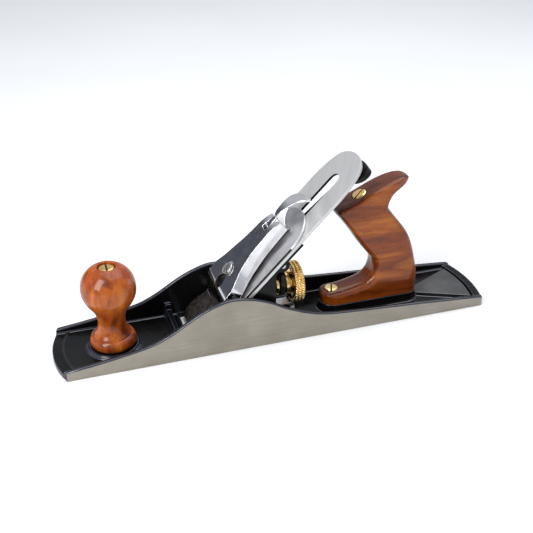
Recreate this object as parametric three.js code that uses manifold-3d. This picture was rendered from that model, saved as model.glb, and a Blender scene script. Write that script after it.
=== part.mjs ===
// Bench plane of the jack size: iron body, sliding frog, 45 degree bed, depth wheel, lateral lever,
// lever cap with a cam, turned front knob and shaped rear handle.
// Millimetres, +X from toe to heel, +Z up, origin at the centre of the sole's underside.
import * as THREE from 'three';
import { mergeVertices } from 'three/addons/utils/BufferGeometryUtils.js';
import Module from 'manifold-3d';

const wasm = await Module();
wasm.setup();

// ---- Driving dimensions ----
const GAP = 0.3;                       // running gap between neighbouring pieces
const SOLE_LENGTH = 355;
const SOLE_WIDTH = 63.5;
const TOE_SAGITTA = 7;                 // how far the toe's arc stands past its corners
const HEEL_SAGITTA = 5;
const FLOOR_Z = 3.6;                   // top of the sole plate
const WALL = 3.5;                      // thickness of cheeks and rails
const HEEL_RIM = 6.5;                  // width of the raised rim along the heel
const HEEL_RIM_Z = 6.8;
const HEEL_PANEL_Z = 6.1;              // top of the tapered panel behind the rear handle
const OPEN_END = -4;                   // inset that carries a cut out past the end of the sole
const RAIL_FILLET = 1.4;               // fillet at the foot of the rails
const BED_X = -70.9;                   // where the plane of the iron's upper face meets the sole's underside
const BED_ANGLE = Math.PI / 4;
const BED_H = -2.5;                    // bed face, measured from the iron's upper face
const MOUTH_FRONT_X = -73.2;
const MOUTH_BACK_H = -3.5;
const MOUTH_HALF = 27.8;
const KNOB_X = -130.8;
const KNOB_PAD_Z = 6.2;
const TOTE_PAD_Z = 11.4;
const TOTE_HALF = 11.6;
const KNOB_NUT_Z = 72;                 // seat of the knob nut's head, just under the knob's top
const FROG_SEAT_Z = 9;
const FROG_HALF = 24.5;
const FROG_TOP_S = 116.5;
const FROG_SCREW_X = -38;
const FROG_SCREW_Y = 12;
const YOKE_PIVOT = { s: 91.5, h: -14.4 };
const WHEEL_Z = 34;                    // height of the depth wheel's axis
const WHEEL_R = 16.8;
const LATERAL_PIVOT_S = 110.5;
const LATERAL_REST = THREE.MathUtils.degToRad(-6.5);
const LATERAL_DISC_S = -7.5;           // disc's centre from the lateral lever's pivot
const IRON_HALF = 25.5;
const IRON_END_S = 193.2;
const IRON_REST = THREE.MathUtils.degToRad(0.65);   // iron's own turn, set by the lateral lever
const IRON_T = 2.2;
const IRON_EDGE_S = 0.7;
const SLOT_HALF = 5.5;
const SLOT_TOP_S = 172.3;
const CAP_IRON_HALF = 25.2;
const CAP_IRON_ARC_S = 108;            // centre of the cap iron's round upper end
const CAP_IRON_TOP_H = 2.3;
const CAP_SCREW_S = 78;
const LEVER_CAP_SCREW_S = 62;
const LEVER_CAP_END_S = 116.2;
const CAM_PIVOT = { s: 109.5, h: 10.5 };
const CAM_R = 5.7;
const CAM_SLOT_HALF = 3.3;             // half the width of the slot between the lever cap's ears
const SPRING_RIVET_S = 88;
const ADJUST_Z = 9.5;                  // height of the frog adjusting screw's axis
const TOTE_BOLT_TOP = new THREE.Vector3(69, 0, 103.4);
const TOTE_BOLT_TILT = THREE.MathUtils.degToRad(-25);
const TOE_SCREW_X = 49;
const M = {
  enamel: { color: 0x111214, roughness: 0.35, metalness: 0.2 },
  brass: { color: 0xc9a24a, roughness: 0.3, metalness: 1 },
  steel: { color: 0xb9bab8, roughness: 0.38, metalness: 1 },
  chrome: { color: 0xd5d7da, roughness: 0.12, metalness: 1 },
  castIron: { color: 0xa9a297, roughness: 0.5, metalness: 0.9 },
  knobWood: { color: 0xa4501c, roughness: 0.25, metalness: 0 },
  toteWood: { color: 0x7c3216, roughness: 0.3, metalness: 0 },
};

// ---- Helpers ----
const v2 = (x, y) => new THREE.Vector2(x, y);
const polygon = (points) => new THREE.Shape(points.map(([x, y]) => v2(x, y)));

function solid(geometry) {
  const bare = geometry.index ? geometry.toNonIndexed() : geometry.clone();
  bare.deleteAttribute('normal');
  bare.deleteAttribute('uv');
  const merged = mergeVertices(bare, 1e-4);
  return new wasm.Manifold(new wasm.Mesh({
    numProp: 3,
    vertProperties: new Float32Array(merged.attributes.position.array),
    triVerts: new Uint32Array(merged.index.array),
  }));
}

function meshGeometry(body) {
  const mesh = body.getMesh();
  const geometry = new THREE.BufferGeometry();
  geometry.setAttribute('position', new THREE.BufferAttribute(mesh.vertProperties, 3));
  geometry.setIndex(new THREE.BufferAttribute(mesh.triVerts, 1));
  geometry.computeVertexNormals();
  return geometry;
}

const join = (...bodies) => bodies.reduce((whole, body) => whole.add(body));
const cut = (base, ...tools) => tools.reduce((whole, tool) => whole.subtract(tool), base);

// Solid of a shape drawn in X and Y, from z0 up to z1.
function slab(shape, z0, z1, curveSegments = 8, bevel = 0) {
  const geometry = new THREE.ExtrudeGeometry(shape, {
    depth: z1 - z0 - 2 * bevel,
    curveSegments,
    bevelEnabled: bevel > 0,
    bevelThickness: bevel,
    bevelSize: bevel,
    bevelOffset: -bevel,
    bevelSegments: 3,
  });
  geometry.translate(0, 0, z0 + bevel);
  return solid(geometry);
}

// Solid of a shape drawn in X and Z, from y0 to y1.
function web(shape, y0, y1, curveSegments = 8) {
  const geometry = new THREE.ExtrudeGeometry(shape, { depth: y1 - y0, curveSegments, bevelEnabled: false });
  geometry.rotateX(Math.PI / 2);
  geometry.translate(0, y1, 0);
  return solid(geometry);
}

const box = (x0, x1, y0, y1, z0, z1) => solid(
  new THREE.BoxGeometry(x1 - x0, y1 - y0, z1 - z0)
    .translate((x0 + x1) / 2, (y0 + y1) / 2, (z0 + z1) / 2),
);

// Round bars along Z, Y and X.
const barZ = (x, y, r, z0, z1, sides = 24) => solid(
  new THREE.CylinderGeometry(r, r, z1 - z0, sides)
    .rotateX(Math.PI / 2)
    .translate(x, y, (z0 + z1) / 2),
);
const barY = (x, z, r, y0, y1, sides = 24) => solid(
  new THREE.CylinderGeometry(r, r, y1 - y0, sides).translate(x, (y0 + y1) / 2, z),
);
const barX = (y, z, r, x0, x1, sides = 24) => solid(
  new THREE.CylinderGeometry(r, r, x1 - x0, sides)
    .rotateZ(-Math.PI / 2)
    .translate((x0 + x1) / 2, y, z),
);

// Turned piece about Z from [radius, z] points.
function turned(points, sides = 32) {
  const geometry = new THREE.LatheGeometry(points.map(([r, z]) => v2(r, z)), sides);
  return solid(geometry.rotateX(Math.PI / 2));
}

// Point of the bed frame (s up the bed, h out of it) in the X and Z of the main frame.
const bedToMain = (s, h) => [
  BED_X + (s - h) * Math.SQRT1_2,
  (s + h) * Math.SQRT1_2,
];

function part(name, body, look) {
  const mesh = new THREE.Mesh(meshGeometry(body), new THREE.MeshStandardMaterial(look));
  mesh.name = name;
  return mesh;
}

// ---- Body casting ----
// Plan outline of the sole with an arc at each end, its sides, toe and heel moved inward.
function solePlan(inset, toeInset, heelInset) {
  const half = SOLE_WIDTH / 2;
  const radius = (sagitta) => (half * half + sagitta * sagitta) / (2 * sagitta);
  const toeR = radius(TOE_SAGITTA);
  const heelR = radius(HEEL_SAGITTA);
  const toeAngle = Math.asin((half - inset) / (toeR - toeInset));
  const heelAngle = Math.asin((half - inset) / (heelR - heelInset));
  const shape = new THREE.Shape();
  shape.absarc(SOLE_LENGTH / 2 - heelR, 0, heelR - heelInset, -heelAngle, heelAngle, false);
  shape.absarc(toeR - SOLE_LENGTH / 2, 0, toeR - toeInset, Math.PI - toeAngle, Math.PI + toeAngle, false);
  shape.closePath();
  return shape;
}

// Side outline of the cheeks and rails.
function cheekOutline() {
  const crest = [
    [-150, 10.3], [-122, 14.7], [-106, 18.2], [-95.6, 22.4], [-86.6, 27.2], [-77.6, 32.8],
    [-68.7, 37.8], [-58, 42.4], [-46.5, 45.4], [-35, 44.9], [-23.1, 41.9], [-12, 37.3],
    [-2, 31.5], [8, 26.9], [20, 22.4], [35.3, 18.9], [61.4, 16.7], [108.8, 13.6], [150, 10.4], [178, 7.9],
  ];
  const shape = new THREE.Shape();
  shape.moveTo(178, -1);
  shape.lineTo(-178, -1);
  shape.lineTo(-178, 7);
  shape.splineThru(crest.map(([x, z]) => v2(x, z)));
  shape.closePath();
  return shape;
}

// Long pad with round ends between x0 and x1.
function stadium(x0, x1, half) {
  const shape = new THREE.Shape();
  shape.absarc(x1 - half, 0, half, -Math.PI / 2, Math.PI / 2, false);
  shape.absarc(x0 + half, 0, half, Math.PI / 2, 1.5 * Math.PI, false);
  shape.closePath();
  return shape;
}

function bodyCasting() {
  const topZ = 60;
  const tray = slab(solePlan(0, 0, 0), 0, topZ, 12)
    .intersect(web(cheekOutline(), -SOLE_WIDTH, SOLE_WIDTH, 2))
    .subtract(slab(solePlan(WALL, OPEN_END, HEEL_RIM), FLOOR_Z, topZ + 5, 12, RAIL_FILLET))
    .subtract(slab(solePlan(WALL, OPEN_END, OPEN_END), HEEL_RIM_Z, topZ + 5, 12));

  const wall = SOLE_WIDTH / 2 - WALL + GAP;
  const mouthRib = box(-84, -80, -wall, wall, 3, 11);
  const gussets = [[-wall, -25], [25, wall]].map(([y0, y1]) => box(-85, -79.5, y0, y1, 3, 15.7));
  const knobPad = barZ(KNOB_X, 0, 20.5, 3, KNOB_PAD_Z, 40);
  const frogSeat = box(-48, -12, -17, 17, 3, FROG_SEAT_Z);
  const adjustLug = box(-6, 3, -6, 6, 3, 14.4);
  const totePad = slab(stadium(38.8, 124.6, 11.8), 3, TOTE_PAD_Z, 10);
  const heelPanel = slab(polygon([[122, -3.5], [168.5, -25], [168.5, 25], [122, 3.5]]), 3, HEEL_PANEL_Z);
  const body = join(tray, mouthRib, ...gussets, knobPad, frogSeat, adjustLug, totePad, heelPanel);

  const mouth = polygon([
    [MOUTH_FRONT_X, -2], [BED_X - MOUTH_BACK_H * Math.SQRT2 - 2, -2],
    [BED_X - MOUTH_BACK_H * Math.SQRT2 + 6, 6], [MOUTH_FRONT_X - 4, 6], [MOUTH_FRONT_X, 2],
  ]);
  const frogScrewHoles = [-1, 1].map((side) => barZ(FROG_SCREW_X, side * FROG_SCREW_Y, 3.3, 2, 12, 16));
  const boltHole = new THREE.CylinderGeometry(3.3, 3.3, 20, 16);
  const boltFoot = toteBoltPoint(94);
  boltHole.rotateX(Math.PI / 2).rotateY(TOTE_BOLT_TILT).translate(boltFoot.x, 0, boltFoot.z + 5);
  return cut(
    body,
    web(mouth, -MOUTH_HALF, MOUTH_HALF),
    barX(0, ADJUST_Z, 3.3, -10, 5, 16),
    barZ(KNOB_X, 0, 3.3, 2, 10, 16),
    barZ(TOE_SCREW_X, 0, 2.6, 3, 15, 16),
    box(boltFoot.x - 4.5, boltFoot.x + 4.5, -4, 4, 4.5, 15),
    ...frogScrewHoles,
  );
}

// Point on the rear handle's bolt axis, a distance below its nut.
function toteBoltPoint(distance) {
  return new THREE.Vector3(
    TOTE_BOLT_TOP.x - Math.sin(TOTE_BOLT_TILT) * distance,
    0,
    TOTE_BOLT_TOP.z - Math.cos(TOTE_BOLT_TILT) * distance,
  );
}

// ---- Frog ----
function frog() {
  const plateBack = -4.7;
  const backX = -7;
  const seatZ = FROG_SEAT_Z + GAP;
  const side = polygon([
    [-63.5, 3.9], [-50, 3.9], [-50, seatZ], [-9.5, seatZ], [-9.5, 16], [backX, 18],
    [backX, backX - BED_X + plateBack * Math.SQRT2],
    bedToMain(FROG_TOP_S, plateBack), bedToMain(FROG_TOP_S, BED_H),
  ]);
  const ribBackX = (h, z) => z + BED_X - h * Math.SQRT2;
  const hollow = polygon([[ribBackX(-8, 15), 15], [40, 15], [40, 40 - BED_X - 8 * Math.SQRT2]]);
  const studBoss = box(-22, -3.7, -8, 8, 26, 42);
  const pivotBoss = web(polygon([
    bedToMain(82, -4), bedToMain(FROG_TOP_S, -4), bedToMain(FROG_TOP_S, -7.2), bedToMain(82, -8),
  ]), -12, 12);
  const [pivotX, pivotZ] = bedToMain(YOKE_PIVOT.s, YOKE_PIVOT.h);
  const lugs = [-1, 1].map((way) => {
    const root = polygon([
      bedToMain(84, -4), bedToMain(99, -4), bedToMain(97, YOKE_PIVOT.h), bedToMain(86, YOKE_PIVOT.h),
    ]);
    const inner = 5.2;
    const outer = 9;
    const [y0, y1] = way > 0 ? [inner, outer] : [-outer, -inner];
    return web(root, y0, y1).add(barY(pivotX, pivotZ, 5.5, y0, y1));
  });
  const body = join(
    web(side, -FROG_HALF, FROG_HALF).subtract(web(hollow, -20, 20)),
    studBoss, pivotBoss, ...lugs,
  );

  const across = (s0, s1, half, h0, h1) => web(
    polygon([bedToMain(s0, h0), bedToMain(s1, h0), bedToMain(s1, h1), bedToMain(s0, h1)]),
    -half, half,
  );
  const screwHole = new THREE.CylinderGeometry(3.3, 3.3, 30, 16);
  screwHole.rotateX(Math.PI / 2).rotateY(-BED_ANGLE);
  const [holeX, holeZ] = bedToMain(LEVER_CAP_SCREW_S, -12);
  screwHole.translate(holeX, 0, holeZ);
  const screwCuts = [-1, 1].flatMap((way) => {
    const y = way * FROG_SCREW_Y;
    return [
      barZ(FROG_SCREW_X, y, 7.8, 15, 45, 24),
      box(FROG_SCREW_X - 4.8, FROG_SCREW_X + 4.8, y - 3.3, y + 3.3, 5, 20),
    ];
  });
  return cut(
    body,
    across(69, 88, 7.6, 0, -9),
    across(84, 97, 4, 0, -9),
    across(94, 120, 9.5, 0, -4.9),
    solid(screwHole),
    barX(0, WHEEL_Z, 3.5, -14, 2, 16),
    barY(pivotX, pivotZ, 2.3, -12, 12, 16),
    barZ(-16, 0, 2.1, 10.5, 20, 16),
    lateralRivetHole(),
    ...screwCuts,
  );
}

function lateralRivetHole() {
  const hole = new THREE.CylinderGeometry(2.5, 2.5, 10, 16);
  const [x, z] = bedToMain(LATERAL_PIVOT_S, -6);
  return solid(hole.rotateX(Math.PI / 2).rotateY(-BED_ANGLE).translate(x, 0, z));
}

// Slotted round-head screw along Z: shank from z0 to z1, head from z1 to z2.
function screw(shankR, headR, z0, z1, z2, slotDepth = 1.2, sides = 24) {
  const body = turned([[0, z0], [shankR, z0], [shankR, z1], [headR, z1], [headR, z2 - 0.6],
    [headR - 0.8, z2], [0, z2]], sides);
  return body.subtract(box(-headR, headR, -0.6, 0.6, z2 - slotDepth, z2 + 1));
}

function washer() {
  return turned([[3.3, 0], [6, 0], [6, 1.4], [3.3, 1.4], [3.3, 0]], 24);
}

function adjustingScrew() {
  const body = turned([[0, -8.5], [3, -8.5], [3, 8], [4.5, 8], [4.5, 9.4], [2.8, 9.4], [2.8, 12],
    [4.5, 12], [4.5, 15.6], [4, 16], [0, 16]], 20);
  return body.subtract(box(-5, 5, -0.6, 0.6, 14.8, 17));
}

function adjustingClip() {
  const plate = join(box(-22, 11.6, -5, 5, 15.3, 16.9), box(9.9, 11.5, -6, 6, 6, 16.9));
  return cut(plate, box(9, 12, -3.2, 3.2, 5, ADJUST_Z), barX(0, ADJUST_Z, 3.2, 9, 12, 20),
    barZ(-16, 0, 2.1, 14, 18, 16));
}

// ---- Depth adjuster ----
function yoke() {
  const [x, z] = bedToMain(YOKE_PIVOT.s, YOKE_PIVOT.h);
  const armX = [2.6, 6.3];
  const finger = polygon([
    bedToMain(88.9, YOKE_PIVOT.h), bedToMain(94.1, YOKE_PIVOT.h), bedToMain(93.6, 2.5), bedToMain(89.4, 2.5),
  ]);
  const stem = polygon([[0.6, z], [armX[0], 43], [armX[1], 43], [7, z]]);
  const arms = [-1, 1].map((way) => box(...armX, way > 0 ? 5.2 : -9, way > 0 ? 9 : -5.2, 30, 44));
  const body = join(barY(x, z, 4.6, -4.8, 4.8), web(finger, -2.9, 2.9), web(stem, -4.4, 4.4),
    box(...armX, -9, 9, 42.6, 46.5), ...arms);
  return body.subtract(barY(x, z, 2.3, -6, 6, 16));
}

function adjusterHub() {
  return turned([[3.5, -0.9], [8.4, -0.9], [8.4, 1.6], [4.8, 1.6], [4.8, 7.4], [8.8, 7.4], [8.8, 12],
    [6, 12], [6, 19.4], [3.5, 19.4], [3.5, -0.9]], 24);
}

// Three ribs around the rim, with a groove between neighbours.
function adjusterWheel() {
  const ribs = [12.3, 15.1, 17.9].flatMap((x) => [
    [WHEEL_R - 1.3, x], [WHEEL_R, x + 0.7], [WHEEL_R, x + 1.8], [WHEEL_R - 1.3, x + 2.5],
  ]);
  return turned([[6.3, 12.3], ...ribs, [10, 20.4], [8.6, 19], [6.3, 19], [6.3, 12.3]], 32);
}

// ---- Lateral adjuster, drawn along +X from its pivot ----
function lateralLever() {
  const strip = new THREE.Shape();
  strip.absarc(LATERAL_DISC_S, 0, 5.4, Math.PI / 2, 1.5 * Math.PI, false);
  strip.lineTo(58, -5.4);
  strip.quadraticCurveTo(64, -5.4, 67, -9);
  strip.bezierCurveTo(72, -12.7, 82.2, -12.2, 82.2, -4);
  strip.lineTo(82.2, 4);
  strip.bezierCurveTo(82.2, 12.2, 72, 12.7, 67, 9);
  strip.quadraticCurveTo(64, 5.4, 58, 5.4);
  strip.closePath();
  const side = new THREE.Shape();
  side.moveTo(-14, -4.5);
  side.lineTo(52, -4.5);
  side.quadraticCurveTo(62, -4.6, 70, -7.8);
  side.quadraticCurveTo(76, -9.8, 86, -10);
  side.lineTo(86, -5.6);
  side.quadraticCurveTo(76, -5.2, 70, -4.4);
  side.quadraticCurveTo(62, -2.8, 54, -2.8);
  side.lineTo(-14, -2.8);
  side.closePath();
  return cut(
    slab(strip, -20, 0, 6).intersect(web(side, -20, 20, 4)),
    barZ(0, 0, 2.5, -6, 0, 16),
    barZ(LATERAL_DISC_S, 0, 1.9, -6, 0, 16),
  );
}

const lateralDisc = () => turned([[0, -4.5], [1.6, -4.5], [1.6, -2.4], [4, -2.4], [4, -0.3], [0, -0.3]], 24);
const lateralRivet = () => turned([
  [0, -6.4], [2.2, -6.4], [2.2, -2.4], [3.1, -2.4], [2.6, -1.2], [0, -1],
], 24);

// ---- Iron, cap iron and lever cap, drawn in the bed frame ----
function planeIron() {
  const shape = new THREE.Shape();
  const shoulder = { s: IRON_END_S - 7.2, y: 18.4 };
  const taperS = IRON_END_S - 35;
  shape.moveTo(IRON_EDGE_S, -IRON_HALF);
  shape.lineTo(taperS, -IRON_HALF);
  shape.bezierCurveTo(taperS + 10, -25.2, shoulder.s - 6, -22.8, shoulder.s, -shoulder.y);
  shape.bezierCurveTo(IRON_END_S - 3.7, -15.3, IRON_END_S, -8, IRON_END_S, 0);
  shape.bezierCurveTo(IRON_END_S, 8, IRON_END_S - 3.7, 15.3, shoulder.s, shoulder.y);
  shape.bezierCurveTo(shoulder.s - 6, 22.8, taperS + 10, 25.2, taperS, IRON_HALF);
  shape.lineTo(IRON_EDGE_S, IRON_HALF);
  shape.closePath();
  const bevelLength = IRON_T / Math.tan(THREE.MathUtils.degToRad(25));
  const bevel = polygon([
    [IRON_EDGE_S - 1, 0.4], [IRON_EDGE_S - 1, -IRON_T - 1], [IRON_EDGE_S + bevelLength, -IRON_T - 1],
    [IRON_EDGE_S + bevelLength, -IRON_T], [IRON_EDGE_S, -0.1], [IRON_EDGE_S, 0.4],
  ]);
  return cut(
    slab(shape, -IRON_T, 0, 6),
    web(bevel, -30, 30),
    slab(stadium(45 - SLOT_HALF, SLOT_TOP_S, SLOT_HALF), -5, 2, 8),
    barZ(46, 0, 9.5, -5, 2, 28),
  );
}

function capIron() {
  const plan = new THREE.Shape();
  plan.moveTo(2.5, -CAP_IRON_HALF);
  plan.lineTo(CAP_IRON_ARC_S, -CAP_IRON_HALF);
  plan.absarc(CAP_IRON_ARC_S, 0, CAP_IRON_HALF, -Math.PI / 2, Math.PI / 2, false);
  plan.lineTo(2.5, CAP_IRON_HALF);
  plan.closePath();
  const side = new THREE.Shape();
  side.moveTo(2.5, GAP);
  side.quadraticCurveTo(7, 5.6, 14, 5.4);
  side.quadraticCurveTo(22, 5, 30, CAP_IRON_TOP_H);
  side.lineTo(140, CAP_IRON_TOP_H);
  side.lineTo(140, GAP);
  side.lineTo(30, GAP);
  side.quadraticCurveTo(21, 3, 14, 3.2);
  side.quadraticCurveTo(8, 3.2, 4, GAP);
  side.closePath();
  return cut(
    slab(plan, -2, 9, 12).intersect(web(side, -30, 30, 5)),
    slab(stadium(54, 71, 4.3), -2, 6, 8),
    barZ(CAP_SCREW_S, 0, 3.9, -2, 6, 20),
    box(86.6, 96.4, -3.6, 3.6, -2, 6),
  );
}

// Plan outline of the lever cap, moved inward by inset.
function leverCapPlan(inset) {
  const halves = [
    [43, 24.2], [50, 24.3], [56, 23.5], [61, 21], [66, 18.4], [71, 16.3], [79, 13.9], [88, 11.9], [98, 10.7],
    [LEVER_CAP_END_S, 9.6],
  ];
  const lip = 32.3 + inset;
  const shape = new THREE.Shape();
  shape.moveTo(38, inset - 23.4);
  shape.splineThru(halves.map(([s, y]) => v2(s, inset - y)));
  shape.lineTo(LEVER_CAP_END_S, 9.6 - inset);
  shape.splineThru(halves.slice(0, -1).reverse().map(([s, y]) => v2(s, y - inset)));
  shape.lineTo(38, 23.4 - inset);
  shape.quadraticCurveTo(33.6, 18, lip, 9);
  shape.lineTo(lip, -9);
  shape.quadraticCurveTo(33.6, -18, 38, inset - 23.4);
  return shape;
}

function leverCap() {
  const roof = 2.6;
  const crown = [[56, 14.6], [62, 15.3], [70, 16.3], [80, 16.9], [103.5, 17]];
  const outer = new THREE.Shape();
  outer.moveTo(32.3, CAP_IRON_TOP_H + GAP);
  outer.lineTo(32.3, 3.2);
  outer.splineThru([v2(37.9, 8.4), v2(43, 12), v2(48, 13.9), ...crown.map(([s, h]) => v2(s, h))]);
  outer.quadraticCurveTo(110, 17, LEVER_CAP_END_S, 14.8);
  outer.lineTo(LEVER_CAP_END_S, 6);
  outer.lineTo(80, 5.2);
  outer.lineTo(53.6, 4.4);
  outer.lineTo(53.6, 10.8);
  outer.lineTo(46, 8.6);
  outer.lineTo(36.4, CAP_IRON_TOP_H + GAP);
  outer.closePath();
  const inner = new THREE.Shape();
  inner.moveTo(52, 0);
  inner.lineTo(52, 11.4);
  inner.splineThru(crown.map(([s, h]) => v2(s, h - roof)));
  inner.lineTo(103.5, 0);
  inner.closePath();
  const post = barZ(SPRING_RIVET_S, 0, 4, 5.2, 15.5, 20);
  const shell = slab(leverCapPlan(0), 0, 25, 4).intersect(web(outer, -30, 30, 3));
  const hollow = slab(leverCapPlan(roof), -1, 26, 4).intersect(web(inner, -30, 30, 3));
  return cut(
    shell.subtract(hollow).add(post),
    box(104, 125, -CAM_SLOT_HALF, CAM_SLOT_HALF, 0, 30),
    box(100, 125, -CAM_SLOT_HALF, CAM_SLOT_HALF, 0, 14.4),
    barY(CAM_PIVOT.s, CAM_PIVOT.h, 2.3, -8.7, 20, 16),
    barZ(50.5, 0, 5.9, 0, 30, 28),
    slab(stadium(48, LEVER_CAP_SCREW_S + 3.5, 3.5), 0, 30, 6),
    barZ(LEVER_CAP_SCREW_S, 0, 6, 14.6, 30, 28),
    barZ(SPRING_RIVET_S, 0, 2.1, 3, 9.9, 16),
  );
}

function camLever() {
  const { s, h } = CAM_PIVOT;
  const side = new THREE.Shape();
  side.moveTo(s + 2, h - 5);
  side.lineTo(s, h + CAM_R);
  side.lineTo(s + 7, h + 6.2);
  side.quadraticCurveTo(s + 9, h + 7.1, s + 11, h + 7.2);
  side.bezierCurveTo(s + 22, h + 7.4, s + 33, h + 4.6, s + 35, h - 6.5);
  side.lineTo(s + 33.8, h - 6.7);
  side.bezierCurveTo(s + 31.5, h, s + 27, h + 4.2, s + 21, h + 3.8);
  side.bezierCurveTo(s + 13, h + 2.8, s + 10.5, h - 1, s + 6.5, h - 6);
  side.closePath();
  const halves = [[13, 3.2], [17.5, 4], [21.5, 5.3], [25, 6.4], [29, 7.2], [32.2, 7], [34.2, 4.6]];
  const neck = CAM_SLOT_HALF - GAP;
  const plan = new THREE.Shape();
  plan.moveTo(s - 1, -neck);
  plan.lineTo(s + 10, -neck);
  plan.splineThru([...halves.map(([ds, y]) => v2(s + ds, -y)), v2(s + 35.2, 0),
    ...halves.map(([ds, y]) => v2(s + ds, y)).reverse(), v2(s + 10, neck)]);
  plan.lineTo(s - 1, neck);
  plan.closePath();
  const barrel = join(
    barY(s, h, CAM_R, -neck, neck, 28),
    barY(s + 0.2, h - 0.6, CAM_R, -neck, neck, 28),
  );
  const paddle = slab(plan, 0, 30, 4).intersect(web(side, -20, 20, 8));
  return barrel.add(paddle).subtract(barY(s, h, 2.3, -20, 20, 16));
}

function leverCapSpring() {
  const shape = polygon([
    [82.5, 4.1], [96, 4.1], [105, 3.1], [117, 3.1], [117, 3.9], [105, 3.9], [96, 4.9], [82.5, 4.9],
  ]);
  return web(shape, -5.5, 5.5).subtract(barZ(SPRING_RIVET_S, 0, 2.1, 2, 7, 16));
}

// ---- Handles ----
const springRivetBody = () => turned([
  [0, 3], [2.4, 3], [3.2, 3.8], [1.8, 3.8], [1.8, 9.5], [0, 9.5],
], 20);

function frontKnob() {
  const profile = new THREE.Path();
  const foot = KNOB_PAD_Z + GAP;
  profile.moveTo(4.2, foot);
  profile.lineTo(16.4, foot);
  profile.quadraticCurveTo(18.4, 8.4, 17.4, 11.6);
  profile.quadraticCurveTo(16.6, 14.8, 14, 16.4);
  profile.quadraticCurveTo(10.6, 20.6, 10.5, 26.5);
  profile.quadraticCurveTo(10.6, 33.5, 14, 38.5);
  profile.bezierCurveTo(16.6, 42.4, 20.9, 47.2, 20.9, 55);
  profile.bezierCurveTo(20.9, 64, 15.8, 70.8, 8.2, 73.4);
  profile.lineTo(6.7, 73.2);
  profile.lineTo(6.7, KNOB_NUT_Z - 2.9);
  profile.lineTo(4.2, KNOB_NUT_Z - 2.9);
  profile.lineTo(4.2, foot);
  return turned(profile.getPoints(3).map((p) => [p.x, p.y]), 28);
}

function toteOutline() {
  const shape = new THREE.Shape();
  shape.moveTo(120, TOTE_PAD_Z + GAP);
  shape.quadraticCurveTo(124, TOTE_PAD_Z + GAP, 123.8, 17);
  shape.splineThru([
    v2(121.8, 30), v2(117.6, 48), v2(113.4, 60.8), v2(108.2, 70.2), v2(97, 84.6), v2(92, 91.6),
  ]);
  shape.quadraticCurveTo(90.4, 100.6, 97.4, 105.2);
  shape.lineTo(103.4, 108.4);
  shape.quadraticCurveTo(110, 111.4, 109.6, 114);
  shape.quadraticCurveTo(107, 117, 98, 114.8);
  shape.quadraticCurveTo(87, 112, 77, 107.2);
  shape.quadraticCurveTo(67, 102.2, 57, 98);
  shape.quadraticCurveTo(46, 95.5, 48.7, 90.5);
  shape.lineTo(59.3, 76.8);
  shape.lineTo(69.4, 62);
  shape.quadraticCurveTo(75.6, 53.6, 79, 49.6);
  shape.quadraticCurveTo(84, 44, 82.6, 37.8);
  shape.quadraticCurveTo(80.8, 29, 71, 25.8);
  shape.quadraticCurveTo(60, 22.6, 50, 22);
  shape.quadraticCurveTo(39, 21.6, 39, 16);
  shape.quadraticCurveTo(39, TOTE_PAD_Z + GAP, 43, TOTE_PAD_Z + GAP);
  shape.closePath();
  return shape;
}

// Largest circle inside a closed outline that touches it at point i, as its radius.
function innerRadius(points, normals, i) {
  return points.reduce((radius, point, j) => {
    if (j === i) return radius;
    const across = points[i].clone().sub(point);
    const depth = -across.dot(normals[i]);
    return depth > 1e-6 ? Math.min(radius, across.lengthSq() / (2 * depth)) : radius;
  }, Infinity);
}

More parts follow.
